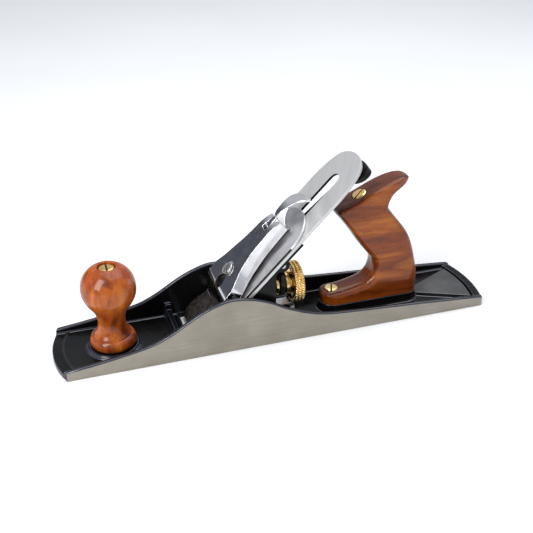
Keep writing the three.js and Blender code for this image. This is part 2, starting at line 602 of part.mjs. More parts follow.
// The handle narrows in steps towards its outline: at each of the widths y, the outline moves in by inset.
function rearHandle() {
  const steps = [
    { y: TOTE_HALF, inset: 4.6 }, { y: 10.4, inset: 2 }, { y: 7.6, inset: 0.5 }, { y: 4.4, inset: 0 },
  ];
  const levels = [...steps.map(({ y, inset }) => ({ y: -y, inset })), ...[...steps].reverse()];
  const outline = toteOutline().getPoints(4).slice(0, -1);
  const count = outline.length;
  const normals = outline.map((_, i) => {
    const along = outline[(i + 1) % count].clone().sub(outline[(i + count - 1) % count]).normalize();
    return v2(-along.y, along.x);
  });
  const square = (point) => (point.y < TOTE_PAD_Z + 1 || point.y > 96 ? 0.35 : 1);
  const vertices = levels.flatMap(({ y, inset }) => outline.flatMap((point, i) => {
    const reach = Math.min(inset * square(point), 0.8 * innerRadius(outline, normals, i));
    return [point.x + normals[i].x * reach, y, point.y + normals[i].y * reach];
  }));
  const faces = [];
  for (let level = 0; level < levels.length - 1; level += 1) {
    for (let i = 0; i < count; i += 1) {
      const a = level * count + i;
      const b = level * count + (i + 1) % count;
      faces.push(a, a + count, b, b, a + count, b + count);
    }
  }
  const last = (levels.length - 1) * count;
  const ring = outline.map((_, i) => v2(vertices[3 * i], vertices[3 * i + 2]));
  for (const [a, b, c] of THREE.ShapeUtils.triangulateShape(ring, [])) {
    faces.push(a, b, c, last + a, last + c, last + b);
  }
  const geometry = new THREE.BufferGeometry();
  geometry.setAttribute('position', new THREE.Float32BufferAttribute(vertices, 3));
  geometry.setIndex(faces);
  const turnedAside = (tool, distance) => {
    const point = toteBoltPoint(distance);
    return solid(tool.rotateX(Math.PI / 2).rotateY(TOTE_BOLT_TILT).translate(point.x, 0, point.z));
  };
  const hornPlan = new THREE.Shape();
  hornPlan.moveTo(30, -TOTE_HALF);
  hornPlan.lineTo(86, -TOTE_HALF);
  hornPlan.absellipse(86, 0, 24.6, TOTE_HALF, -Math.PI / 2, Math.PI / 2, false);
  hornPlan.lineTo(30, TOTE_HALF);
  hornPlan.closePath();
  const hornZ = 88;
  const plan = slab(stadium(39, 124.2, TOTE_HALF), 0, hornZ, 12).add(slab(hornPlan, hornZ, 125, 12));
  return cut(
    solid(geometry).intersect(plan),
    turnedAside(new THREE.CylinderGeometry(4.2, 4.2, 120, 16), 50),
    turnedAside(new THREE.CylinderGeometry(6.3, 6.3, 10, 24), -2),
    barZ(TOE_SCREW_X, 0, 2.6, 5, 30, 16),
    barZ(TOE_SCREW_X, 0, 5.9, 19.6, 30, 24),
  );
}

// Round nut with a countersunk slotted head, drawn down from its top face at z = 0.
function handleNut() {
  const body = turned([[0, -3.6], [3.3, -3.6], [3.3, -16], [3.9, -16], [3.9, -2.6], [5.8, -2.3], [5.8, 0],
    [5.2, 0.6], [0, 0.6]], 20);
  return body.subtract(box(-6, 6, -0.7, 0.7, -0.8, 2));
}

// ---- Assembly ----
const group = new THREE.Group();
const bed = new THREE.Group();
bed.position.set(BED_X, 0, 0);
bed.rotation.y = -BED_ANGLE;
group.add(bed);

group.add(part('body_casting', bodyCasting(), M.castIron));
group.add(part('frog', frog(), M.enamel));
for (const [side, y] of [['left', -FROG_SCREW_Y], ['right', FROG_SCREW_Y]]) {
  const washerMesh = part(`frog_washer_${side}`, washer(), M.steel);
  washerMesh.position.set(FROG_SCREW_X, y, 15 + GAP);
  const screwMesh = part(`frog_screw_${side}`, screw(3, 5.4, 2.4, 17, 20.4), M.steel);
  screwMesh.position.set(FROG_SCREW_X, y, 0);
  group.add(washerMesh, screwMesh);
}

const alongX = new THREE.Group();
alongX.rotation.y = Math.PI / 2;
const adjustMesh = part('frog_adjusting_screw', adjustingScrew(), M.steel);
adjustMesh.position.set(-ADJUST_Z, 0, 0);
alongX.add(adjustMesh);
for (const [name, body, look] of [
  ['adjuster_hub', adjusterHub(), M.brass],
  ['adjuster_wheel', adjusterWheel(), M.brass],
  ['adjuster_stud', turned([[0, -13.6], [3.2, -13.6], [3.2, 22.4], [2.6, 23], [0, 23]], 24), M.steel],
]) {
  const mesh = part(name, body, look);
  mesh.position.set(-WHEEL_Z, 0, 0);
  alongX.add(mesh);
}
group.add(alongX);
group.add(part('adjusting_clip', adjustingClip(), M.steel));
const clipScrew = part('clip_screw', screw(1.8, 3.4, 11, 17.2, 19.2, 0.8), M.steel);
clipScrew.position.set(-16, 0, 0);
group.add(clipScrew);
group.add(part('yoke', yoke(), M.castIron));
const [pinX, pinZ] = bedToMain(YOKE_PIVOT.s, YOKE_PIVOT.h);
group.add(part('yoke_pin', barY(pinX, pinZ, 2, -9.4, 9.4, 20), M.steel));

const lateral = new THREE.Group();
lateral.position.set(LATERAL_PIVOT_S, 0, 0);
lateral.rotation.z = LATERAL_REST;
lateral.add(part('lateral_lever', lateralLever(), M.enamel));
const disc = part('lateral_disc', lateralDisc(), M.steel);
disc.position.set(LATERAL_DISC_S, 0, 0);
lateral.add(disc);
bed.add(lateral);
const rivet = part('lateral_rivet', lateralRivet(), M.steel);
rivet.position.set(LATERAL_PIVOT_S, 0, 0);
bed.add(rivet);

const ironPair = new THREE.Group();
ironPair.position.set(CAP_SCREW_S, 0, 0);
ironPair.rotation.z = IRON_REST;
for (const [name, body, look] of [['plane_iron', planeIron(), M.steel], ['cap_iron', capIron(), M.steel]]) {
  const mesh = part(name, body, look);
  mesh.position.set(-CAP_SCREW_S, 0, 0);
  ironPair.add(mesh);
}
bed.add(ironPair);
const capScrew = part('cap_iron_screw', screwBelow(), M.steel);
capScrew.position.set(CAP_SCREW_S, 0, 0);
bed.add(capScrew);
const leverScrew = part('lever_cap_screw', screw(3, 5.2, -10, 14.9, 17.4), M.steel);
leverScrew.position.set(LEVER_CAP_SCREW_S, 0, 0);
bed.add(leverScrew);
bed.add(part('lever_cap', leverCap(), M.chrome));
bed.add(part('cam_lever', camLever(), M.chrome));
bed.add(part('cam_pin', barY(CAM_PIVOT.s, CAM_PIVOT.h, 2, -8.4, 9.2, 20), M.steel));
bed.add(part('lever_cap_spring', leverCapSpring(), M.steel));
const springRivet = part('spring_rivet', springRivetBody(), M.steel);
springRivet.position.set(SPRING_RIVET_S, 0, 0);
bed.add(springRivet);

group.add(moved(part('front_knob', frontKnob(), M.knobWood), KNOB_X, 0, 0));
group.add(moved(part('knob_bolt', barZ(0, 0, 3, 2.4, KNOB_NUT_Z - 4, 20), M.steel), KNOB_X, 0, 0));
group.add(moved(part('knob_nut', handleNut(), M.brass), KNOB_X, 0, KNOB_NUT_Z));
group.add(part('rear_handle', rearHandle(), M.toteWood));
const bolt = new THREE.Group();
bolt.position.copy(TOTE_BOLT_TOP);
bolt.rotation.y = TOTE_BOLT_TILT;
bolt.add(part('handle_bolt', barZ(0, 0, 3, -98, -4, 20), M.steel));
bolt.add(part('handle_nut', handleNut(), M.brass));
group.add(bolt);
group.add(moved(part('handle_toe_screw', screw(2.3, 5.6, 4, 20, 22.4), M.brass), TOE_SCREW_X, 0, 0));

// Cap iron screw, whose head lies under the iron.
function screwBelow() {
  const body = turned([
    [0, -5.4], [5.6, -5.4], [6.3, -4.8], [6.3, -2.5], [3.6, -2.5], [3.6, 2.9], [0, 2.9],
  ], 28);
  return body.subtract(box(-7, 7, -0.7, 0.7, -6, -4.3));
}

function moved(mesh, x, y, z) {
  mesh.position.set(x, y, z);
  return mesh;
}

export default group;
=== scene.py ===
import math

import bmesh
import bpy
from mathutils import Matrix, Vector


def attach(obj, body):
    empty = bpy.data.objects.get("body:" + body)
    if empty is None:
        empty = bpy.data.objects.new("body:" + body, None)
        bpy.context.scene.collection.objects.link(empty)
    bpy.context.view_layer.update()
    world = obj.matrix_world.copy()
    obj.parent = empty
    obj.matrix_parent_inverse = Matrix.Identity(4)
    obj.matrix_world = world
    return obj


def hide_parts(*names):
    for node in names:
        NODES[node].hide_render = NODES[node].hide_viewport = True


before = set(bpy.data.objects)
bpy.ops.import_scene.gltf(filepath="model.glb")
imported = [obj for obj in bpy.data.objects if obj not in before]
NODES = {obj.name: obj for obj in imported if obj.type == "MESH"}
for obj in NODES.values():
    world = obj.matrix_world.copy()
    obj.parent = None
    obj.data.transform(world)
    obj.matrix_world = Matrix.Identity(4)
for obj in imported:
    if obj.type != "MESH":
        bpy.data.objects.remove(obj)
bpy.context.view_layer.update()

# ---- Dimensions, in millimetres, as in the part ----
MM = 0.001
ROOT2 = math.sqrt(2)
SOLE_LENGTH = 355
SOLE_WIDTH = 63.5
TOE_SAGITTA = 7
HEEL_SAGITTA = 5
FLOOR_Z = 3.6
WALL = 3.5
BED_X = -70.9
MOUTH_FRONT_X = -73.2
MOUTH_HALF = 27.8
KNOB_X = -130.8
KNOB_PAD_Z = 6.2
KNOB_NUT_Z = 72
TOTE_PAD_Z = 11.4
TOTE_HALF = 11.6
FROG_SEAT_Z = 9
FROG_SCREW_X = -38
FROG_SCREW_Y = 12
WHEEL_Z = 34
WHEEL_R = 16.8
LATERAL_PIVOT_S = 110.5
LATERAL_REST = math.radians(-6.5)
LATERAL_DISC_S = -7.5
IRON_HALF = 25.5
IRON_END_S = 193.2
IRON_REST = math.radians(0.65)
IRON_T = 2.2
SLOT_HALF = 5.5
SLOT_TOP_S = 172.3
CAP_IRON_HALF = 25.2
CAP_IRON_ARC_S = 108
CAP_IRON_TOP_H = 2.3
CAP_SCREW_S = 78
LEVER_CAP_SCREW_S = 62
LEVER_CAP_END_S = 116.2
CAM_S, CAM_H, CAM_R = 109.5, 10.5, 5.7
CAM_SLOT_HALF = 3.3
SPRING_RIVET_S = 88
ADJUST_Z = 9.5
TOTE_BOLT_TOP = Vector((69, 0, 103.4))
TOTE_BOLT_TILT = math.radians(-25)
TOE_SCREW_X = 49
GAP = 0.3
TURNED_SIDES = 96
BAR_SIDES = 64

# The bed's frame: x runs up the bed (s), y across it and z out of it (h).
BED = Matrix.Translation((BED_X, 0, 0)) @ Matrix.Rotation(math.radians(-45), 4, "Y")
# The iron and cap iron as they rest, tilted about the cap iron screw.
IRON = (BED @ Matrix.Translation((CAP_SCREW_S, 0, 0)) @ Matrix.Rotation(IRON_REST, 4, "Z")
        @ Matrix.Translation((-CAP_SCREW_S, 0, 0)))
LATERAL = BED @ Matrix.Translation((LATERAL_PIVOT_S, 0, 0)) @ Matrix.Rotation(LATERAL_REST, 4, "Z")
# Turns that lay a piece drawn along Z along another axis.
ALONG_X = Matrix.Rotation(math.radians(90), 4, "Y")
ALONG_Y = Matrix.Rotation(math.radians(-90), 4, "X")
TOTE_BOLT = Matrix.Translation(TOTE_BOLT_TOP) @ Matrix.Rotation(TOTE_BOLT_TILT, 4, "Y")


# ---- Outlines ----
class Outline:
    """A flat outline drawn with lines, arcs and curves, kept as points."""

    def __init__(self, x, y):
        self.points = [(x, y)]

    def line(self, *points):
        self.points.extend(points)
        return self

    def quad(self, cx, cy, x, y, steps=12):
        x0, y0 = self.points[-1]
        for i in range(1, steps + 1):
            t = i / steps
            a, b, c = (1 - t) ** 2, 2 * t * (1 - t), t * t
            self.points.append((a * x0 + b * cx + c * x, a * y0 + b * cy + c * y))
        return self

    def cubic(self, ax, ay, bx, by, x, y, steps=18):
        x0, y0 = self.points[-1]
        for i in range(1, steps + 1):
            t = i / steps
            k = ((1 - t) ** 3, 3 * t * (1 - t) ** 2, 3 * t * t * (1 - t), t ** 3)
            self.points.append((k[0] * x0 + k[1] * ax + k[2] * bx + k[3] * x,
                                k[0] * y0 + k[1] * ay + k[2] * by + k[3] * y))
        return self

    def spline(self, points, steps=8):
        self.points.extend(through([self.points[-1], *points], steps)[1:])
        return self

    def arc(self, cx, cy, radius, start, end, steps=24):
        self.points.extend(arc(cx, cy, radius, start, end, steps))
        return self


def through(knots, steps=8):
    """Points on the smooth curve through the knots."""
    points = [knots[0]]
    for i in range(len(knots) - 1):
        p = [knots[max(i - 1, 0)], knots[i], knots[i + 1], knots[min(i + 2, len(knots) - 1)]]
        for step in range(1, steps + 1):
            t = step / steps
            points.append(tuple(
                0.5 * (2 * p[1][k] + (p[2][k] - p[0][k]) * t
                       + (2 * p[0][k] - 5 * p[1][k] + 4 * p[2][k] - p[3][k]) * t ** 2
                       + (3 * p[1][k] - p[0][k] - 3 * p[2][k] + p[3][k]) * t ** 3)
                for k in range(len(p[1]))))
    return points


def arc(cx, cy, radius, start, end, steps=24):
    return [(cx + radius * math.cos(start + (end - start) * i / steps),
             cy + radius * math.sin(start + (end - start) * i / steps)) for i in range(steps + 1)]


def stadium(x0, x1, half, steps=16):
    quarter = math.pi / 2
    return (arc(x1 - half, 0, half, -quarter, quarter, steps)
            + arc(x0 + half, 0, half, quarter, 3 * quarter, steps))


# ---- Solids ----
def to_object(bm, name="tool"):
    bmesh.ops.remove_doubles(bm, verts=bm.verts, dist=1e-4)
    bmesh.ops.recalc_face_normals(bm, faces=bm.faces)
    mesh = bpy.data.meshes.new(name)
    bm.to_mesh(mesh)
    bm.free()
    made = bpy.data.objects.new(name, mesh)
    bpy.context.collection.objects.link(made)
    return made


def loft(rings):
    """Solid skin over rings of points with equal counts, capped at both ends."""
    bm = bmesh.new()
    levels = [[bm.verts.new(point) for point in ring] for ring in rings]
    count = len(rings[0])
    for low, high in zip(levels, levels[1:]):
        for i in range(count):
            j = (i + 1) % count
            bm.faces.new((low[i], low[j], high[j], high[i]))
    bm.faces.new(levels[0][::-1])
    bm.faces.new(levels[-1])
    return to_object(bm)


def points_of(outline):
    return outline.points if isinstance(outline, Outline) else outline


def slab(outline, z0, z1):
    """Solid with an x and y outline, from one height to another."""
    return loft([[(x, y, z) for x, y in points_of(outline)] for z in (z0, z1)])


def web(outline, y0, y1):
    """Solid with an x and z outline, from one side to the other."""
    return loft([[(x, y, z) for x, z in points_of(outline)] for y in (y0, y1)])


def box(x0, x1, y0, y1, z0, z1):
    return slab([(x0, y0), (x1, y0), (x1, y1), (x0, y1)], z0, z1)


def turned(profile, sides=TURNED_SIDES):
    """Solid turned about Z from [radius, z] points that run from the axis or a bore round to it."""
    bm = bmesh.new()
    start = [bm.verts.new((r, 0, z)) for r, z in profile]
    edges = [bm.edges.new(pair) for pair in zip(start, start[1:])]
    bmesh.ops.spin(bm, geom=start + edges, cent=(0, 0, 0), axis=(0, 0, 1), angle=math.tau,
                   steps=sides, use_merge=True, use_duplicate=False)
    return to_object(bm)


def bar(radius, low, high, matrix):
    made = turned([(0, low), (radius, low), (radius, high), (0, high)], BAR_SIDES)
    return moved(made, matrix)


def bar_y(x, z, radius, y0, y1):
    return bar(radius, y0, y1, Matrix.Translation((x, 0, z)) @ ALONG_Y)


def bar_z(x, y, radius, z0, z1):
    return bar(radius, z0, z1, Matrix.Translation((x, y, 0)))


def moved(made, matrix):
    made.data.transform(matrix)
    return made


def bake(made):
    """Applies the object's modifiers to its mesh."""
    bpy.context.view_layer.update()
    evaluated = made.evaluated_get(bpy.context.evaluated_depsgraph_get())
    mesh = bpy.data.meshes.new_from_object(evaluated)
    made.modifiers.clear()
    old = made.data
    made.data = mesh
    bpy.data.meshes.remove(old)
    return made


def combine(base, tools, operation):
    for tool in tools:
        modifier = base.modifiers.new("combine", "BOOLEAN")
        modifier.solver = "MANIFOLD"
        modifier.operation = operation
        modifier.object = tool
        bake(base)
        bpy.data.objects.remove(tool)
    return base


def join(base, *tools):
    return combine(base, tools, "UNION")


def cut(base, *tools):
    return combine(base, tools, "DIFFERENCE")


def common(base, *tools):
    return combine(base, tools, "INTERSECT")


def tidy(made, angle=0.4):
    """Merges flat neighbours and slivers that the cuts leave."""
    bm = bmesh.new()
    bm.from_mesh(made.data)
    bmesh.ops.remove_doubles(bm, verts=bm.verts, dist=0.004)
    bmesh.ops.dissolve_degenerate(bm, edges=bm.edges, dist=0.004)
    bmesh.ops.dissolve_limit(bm, angle_limit=math.radians(angle), verts=bm.verts, edges=bm.edges)
    bm.to_mesh(made.data)
    bm.free()
    return made


def soften(made, width, segments=3, angle=30):
    """Rounds the sharp edges, by width in millimetres once the piece is in metres."""
    bevel = made.modifiers.new("edge", "BEVEL")
    bevel.width = width * MM
    bevel.segments = segments
    bevel.limit_method = "ANGLE"
    bevel.angle_limit = math.radians(angle)
    bevel.use_clamp_overlap = False
    bevel.harden_normals = True
    bevel.miter_outer = "MITER_ARC"
    return made


def two_tone(made, outer, inner, test):
    """Gives the faces that pass the test, by their middle and normal, the inner look."""
    made.data.materials.clear()
    made.data.materials.append(outer)
    made.data.materials.append(inner)
    for face in made.data.polygons:
        face.material_index = int(test(face.center, face.normal))
    return made


def shade_smooth(made, angle=30):
    for polygon in made.data.polygons:
        polygon.use_smooth = True
    made.data.set_sharp_from_angle(angle=math.radians(angle))


def piece(name, made, matter, body, nodes, edge=0.0, angle=30, segments=3, matrix=None):
    """Finishes a solid drawn in millimetres as a piece of the object, standing for CAD nodes."""
    if matrix:
        moved(made, matrix)
    moved(made, Matrix.Scale(MM, 4))
    made.name = made.data.name = name
    if matter:
        made.data.materials.clear()
        made.data.materials.append(matter)
    shade_smooth(made, angle)
    if edge:
        soften(made, edge, segments, angle)
    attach(made, body)
    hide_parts(*nodes)
    return made


# ---- Materials ----
class Matter:
    """A node material whose colour, roughness and bump come from procedural textures."""

    def __init__(self, name, colour, roughness, metallic=0.0, **sockets):
        self.material = bpy.data.materials.new(name)
        self.material.use_nodes = True
        self.tree = self.material.node_tree
        self.shader = self.tree.nodes["Principled BSDF"]
        self.shader.inputs["Base Color"].default_value = (*colour, 1)
        self.shader.inputs["Roughness"].default_value = roughness
        self.shader.inputs["Metallic"].default_value = metallic
        for socket, value in sockets.items():
            self.shader.inputs[socket.replace("_", " ")].default_value = value
        self.place = self.node("ShaderNodeTexCoord").outputs["Object"]
        self.height = None

    def node(self, kind, **values):
        made = self.tree.nodes.new(kind)
        for key, value in values.items():
            setattr(made, key, value)
        return made

    def link(self, source, target):
        self.tree.links.new(source, target)

    def stretched(self, turn=(0, 0, 0), scale=(1, 1, 1)):
        """Object coordinates turned into a piece's own directions, then stretched by scale."""
        mapping = self.node("ShaderNodeMapping", vector_type="TEXTURE")
        mapping.inputs["Rotation"].default_value = turn
        mapping.inputs["Scale"].default_value = scale
        self.link(self.place, mapping.inputs["Vector"])
        return mapping.outputs["Vector"]

    def noise(self, scale, detail=3, place=None, distortion=0.0, roughness=0.5):
        made = self.node("ShaderNodeTexNoise")
        made.inputs["Scale"].default_value = scale
        made.inputs["Detail"].default_value = detail
        made.inputs["Distortion"].default_value = distortion
        made.inputs["Roughness"].default_value = roughness
        self.link(place or self.place, made.inputs["Vector"])
        return made.outputs["Fac"]

    def ramp(self, source, *stops):
        """Colours or greys along a source; each stop is (position, value)."""
        made = self.node("ShaderNodeValToRGB")
        elements = made.color_ramp.elements
        while len(elements) < len(stops):
            elements.new(0.5)
        for element, (position, value) in zip(elements, stops):
            element.position = position
            element.color = (*value, 1) if isinstance(value, tuple) else (value, value, value, 1)
        self.link(source, made.inputs["Fac"])
        return made.outputs["Color"]

    def mix(self, factor, first, second, blend="MIX"):
        """Blends two colours; each input is a node's output, a number or a colour."""
        made = self.node("ShaderNodeMix", data_type="RGBA", blend_type=blend)
        for socket, value in ((0, factor), (6, first), (7, second)):
            if isinstance(value, float):
                made.inputs[socket].default_value = value
            elif isinstance(value, tuple):
                made.inputs[socket].default_value = (*value, 1)
            else:
                self.link(value, made.inputs[socket])
        return made.outputs[2]

    def colour(self, source):
        self.link(source, self.shader.inputs["Base Color"])

    def roughness(self, source):
        self.link(source, self.shader.inputs["Roughness"])

    def bump(self, source, distance, strength=1.0):
        """Adds a bump of that depth, in metres, on top of the earlier ones."""
        made = self.node("ShaderNodeBump")
        made.inputs["Strength"].default_value = strength
        made.inputs["Distance"].default_value = distance
        self.link(source, made.inputs["Height"])
        if self.height:
            self.link(self.height, made.inputs["Normal"])
        self.height = made.outputs["Normal"]
        self.link(self.height, self.shader.inputs["Normal"])
        self.link(self.height, self.shader.inputs["Coat Normal"])


ALONG_BED = (0, math.radians(-45), 0)


def ground_iron():
    """Grey iron, ground in one direction, faintly mottled."""
    m = Matter("ground_iron", (0.33, 0.305, 0.26), 0.46, metallic=0.75)
    mottle = m.noise(55, 4)
    grain = m.noise(1500, 4, m.stretched(scale=(40, 1, 1)))
    tone = m.ramp(mottle, (0.3, (0.285, 0.258, 0.215)), (0.7, (0.345, 0.317, 0.27)))
    m.colour(m.mix(0.35, tone, m.ramp(grain, (0.3, 0.62), (0.7, 1.0)), "MULTIPLY"))
    m.roughness(m.ramp(m.noise(220, 3), (0.3, 0.4), (0.7, 0.56)))
    m.bump(grain, 0.00004)
    m.bump(m.noise(2600, 2), 0.00002)
    return m.material


def enamel(name="black_enamel", colour=(0.0025, 0.0026, 0.0028), roughness=0.26, grit=0.00006, gloss=0.12):
    """Stove enamel: a slightly lumpy black under a clear glossy coat."""
    m = Matter(name, colour, roughness, Coat_Weight=gloss, Coat_Roughness=0.14, Specular_IOR_Level=gloss)
    cloud = m.noise(60, 4)
    m.colour(m.ramp(cloud, (0.3, colour), (0.75, tuple(1.9 * c for c in colour))))
    m.roughness(m.ramp(m.noise(140, 4), (0.3, roughness - 0.06), (0.7, roughness + 0.1)))
    m.bump(m.noise(480, 3), grit)
    m.bump(m.noise(2400, 2), 0.000012)
    return m.material


def dark_iron():
    """Bare casting, dark and slightly rough, also used as painted shade and a painted dark reflection."""
    m = Matter("dark_iron", (0.035, 0.03, 0.028), 0.5, metallic=0.6, Specular_IOR_Level=0.2)
    m.colour(m.ramp(m.noise(300, 5), (0.3, (0.012, 0.010, 0.009)), (0.7, (0.07, 0.06, 0.055))))
    m.roughness(m.ramp(m.noise(500, 3), (0.3, 0.42), (0.7, 0.62)))
    m.bump(m.noise(1600, 4), 0.00006)
    return m.material


def steel():
    """Plain turned steel."""
    m = Matter("steel", (0.52, 0.52, 0.51), 0.3, metallic=1.0)
    m.colour(m.ramp(m.noise(350, 4), (0.3, (0.42, 0.42, 0.41)), (0.7, (0.6, 0.6, 0.59))))
    m.roughness(m.ramp(m.noise(700, 4), (0.3, 0.22), (0.7, 0.42)))
    m.bump(m.noise(3000, 3, m.stretched(scale=(1, 1, 6))), 0.00002)
    return m.material


def brass():
    """Turned brass, dulled in patches."""
    m = Matter("brass", (0.93, 0.66, 0.28), 0.22, metallic=1.0)
    patina = m.noise(190, 5)
    m.colour(m.ramp(patina, (0.3, (0.72, 0.44, 0.15)), (0.5, (0.93, 0.65, 0.27)),
                    (0.75, (1.0, 0.82, 0.45))))
    m.roughness(m.ramp(m.noise(260, 4), (0.3, 0.16), (0.7, 0.32)))
    m.bump(m.noise(1800, 3), 0.00003)
    return m.material


def blade():
    """Satin steel, ground slantwise along the iron."""
    m = Matter("brushed_blade", (0.6, 0.6, 0.6), 0.46, metallic=0.7)
    slant = (Matrix.Rotation(math.radians(-45), 3, "Y")
             @ Matrix.Rotation(math.radians(49), 3, "Z")).to_euler()
    along = m.stretched(slant, (50, 1, 1))
    streak = m.noise(2600, 4, along)
    broad = m.noise(120, 3, m.stretched(slant, (5, 1, 1)))
    tone = m.ramp(broad, (0.3, (0.60, 0.60, 0.60)), (0.7, (0.67, 0.67, 0.675)))
    m.colour(m.mix(0.18, tone, m.ramp(streak, (0.3, 0.6), (0.7, 1.0)), "MULTIPLY"))
    m.roughness(m.ramp(streak, (0.3, 0.4), (0.7, 0.54)))
    m.bump(streak, 0.00002)
    return m.material


def polished(name="polished_steel", low=0.08, high=0.2):
    """Mirror-polished steel with a cloudy sheen and hairline scratches."""
    m = Matter(name, (0.76, 0.76, 0.78), 0.1, metallic=1.0)
    cloud = m.noise(95, 4, distortion=0.6)
    m.colour(m.ramp(cloud, (0.3, (0.66, 0.66, 0.68)), (0.7, (0.82, 0.82, 0.83))))
    m.roughness(m.ramp(m.noise(150, 5), (0.3, low), (0.7, high)))
    m.bump(m.noise(130, 2), 0.00005)
    m.bump(m.noise(2600, 3, m.stretched(ALONG_BED, (1, 30, 1))), 0.000005)
    return m.material


def wood(name, dark, middle, light, stretch, rim_shade=1.0):
    """Varnished close-grained wood.

    Stretch runs along the grain, and the last argument darkens all but the two flat sides as painted shade.
    """
    m = Matter(name, middle, 0.42, Coat_Weight=0.6, Coat_Roughness=0.09, Specular_IOR_Level=0.1)
    along = m.stretched(scale=stretch)
    figure = m.noise(70, 3, along, distortion=0.9)
    band = m.noise(300, 5, along, distortion=0.6, roughness=0.62)
    pore = m.noise(1500, 3, along)
    tone = m.ramp(figure, (0.3, dark), (0.5, middle), (0.7, light))
    streaks = m.ramp(band, (0.34, (0.42, 0.26, 0.2)), (0.48, (0.92, 0.86, 0.82)),
                     (0.68, (1.0, 1.0, 1.0)))
    tone = m.mix(0.55, tone, streaks, "MULTIPLY")
    tone = m.mix(0.3, tone, m.ramp(pore, (0.36, 0.35), (0.5, 1.0)), "MULTIPLY")
    # Painted shade: faces that turn away from the two flat sides are darkened, by the last argument.
    across = m.node("ShaderNodeSeparateXYZ")
    m.link(m.node("ShaderNodeTexCoord").outputs["Normal"], across.inputs[0])
    flat = m.node("ShaderNodeMath", operation="ABSOLUTE")
    m.link(across.outputs["Y"], flat.inputs[0])
    painted_darkening = m.ramp(flat.outputs[0], (0.35, (rim_shade, rim_shade * 0.88, rim_shade * 0.95)), (0.9, (1.0, 1.0, 1.0)))
    m.colour(m.mix(1.0, tone, painted_darkening, "MULTIPLY"))
    m.roughness(m.ramp(band, (0.3, 0.46), (0.7, 0.34)))
    m.bump(band, 0.00008)
    return m.material


IRON_SIDE = ground_iron()
ENAMEL = enamel()
DARK_IRON_AND_SHADE = dark_iron()
STEEL = steel()
BRASS = brass()
BLADE = blade()
POLISHED = polished()
SATIN = polished("satin_steel", 0.34, 0.46)
WORN = enamel("worn_enamel", (0.05, 0.05, 0.051), 0.5)
TOE_WORN = enamel("rubbed_enamel", (0.011, 0.011, 0.012), 0.4)
# Painted highlight: rounded edges and fillets get a glossier enamel whose lighter, bluer colour stands in for
# the sky's reflection.
EDGE_HIGHLIGHT_ENAMEL = enamel("enamel_edge_highlight", (0.012, 0.0135, 0.024), 0.2, gloss=0.55)
GRIP = enamel("cast_grip", (0.004, 0.0035, 0.003), 0.22, 0.0006)
KNOB_WOOD = wood("knob_wood", (0.10, 0.016, 0.003), (0.30, 0.062, 0.006), (0.48, 0.135, 0.014), (1, 1, 5))
# The handle's rounded faces are darkened as painted shade.
HANDLE_WOOD = wood("handle_wood", (0.08, 0.012, 0.002), (0.25, 0.052, 0.004), (0.42, 0.125, 0.010),
                   (6, 1, 1), rim_shade=0.52)


# ---- Body casting ----
HEEL_RIM = 6.5
HEEL_RIM_Z = 6.8
HEEL_PANEL_Z = 6.1
OPEN_END = -4           # end inset of a hollow that runs out past that end of the sole
FLOOR_FILLET = 2.0
CASTING_CORNER = math.radians(32)
CASTING_LOOKS = [ENAMEL, IRON_SIDE, WORN, TOE_WORN, EDGE_HIGHLIGHT_ENAMEL]


def end_radius(sagitta):
    """Radius of an arc that spans the sole's width and rises by the sagitta."""
    half = SOLE_WIDTH / 2
    return (half * half + sagitta * sagitta) / (2 * sagitta)


def sole_plan(inset, toe_inset, heel_inset, steps=48):
    """Plan outline of the sole with its sides and each end's arc moved inward."""
    half = SOLE_WIDTH / 2
    points = []
    for sagitta, end_inset, side in ((HEEL_SAGITTA, heel_inset, 1), (TOE_SAGITTA, toe_inset, -1)):
        radius = end_radius(sagitta)
        reach = math.asin((half - inset) / (radius - end_inset))
        middle = 0 if side > 0 else math.pi
        points += arc(side * (SOLE_LENGTH / 2 - radius), 0, radius - end_inset,
                      middle - reach, middle + reach, steps)
    return points


def cheek_outline():
    crest = [(-178, 7), (-150, 10.3), (-122, 14.7), (-106, 18.2), (-95.6, 22.4), (-86.6, 27.2), (-77.6, 32.8),
             (-68.7, 37.8), (-58, 42.4), (-46.5, 45.4), (-35, 44.9), (-23.1, 41.9), (-12, 37.3), (-2, 31.5),
             (8, 26.9), (20, 22.4), (35.3, 18.9), (61.4, 16.7), (108.8, 13.6), (150, 10.4), (178, 7.9)]
    return [(178, -1), (-178, -1)] + through(crest, 7)


def toe_ridge():
    """Low soft ridge across the toe's floor, concentric with the toe's arc."""
    across = [(4.6, FLOOR_Z - 0.4), (6.4, FLOOR_Z + 0.1), (7.6, FLOOR_Z + 0.55), (8.4, FLOOR_Z + 0.7),
              (9.2, FLOOR_Z + 0.5), (10.2, FLOOR_Z + 0.1), (11.4, FLOOR_Z - 0.4)]
    radius = end_radius(TOE_SAGITTA)
    reach = math.asin((SOLE_WIDTH / 2 - WALL - 0.5) / (radius - 12))
    rings = []
    for k in range(33):
        turn = math.pi - reach + 2 * reach * k / 32
        rings.append([(radius - SOLE_LENGTH / 2 + (radius - inset) * math.cos(turn),
                       (radius - inset) * math.sin(turn), z) for inset, z in across])
    return loft(rings)


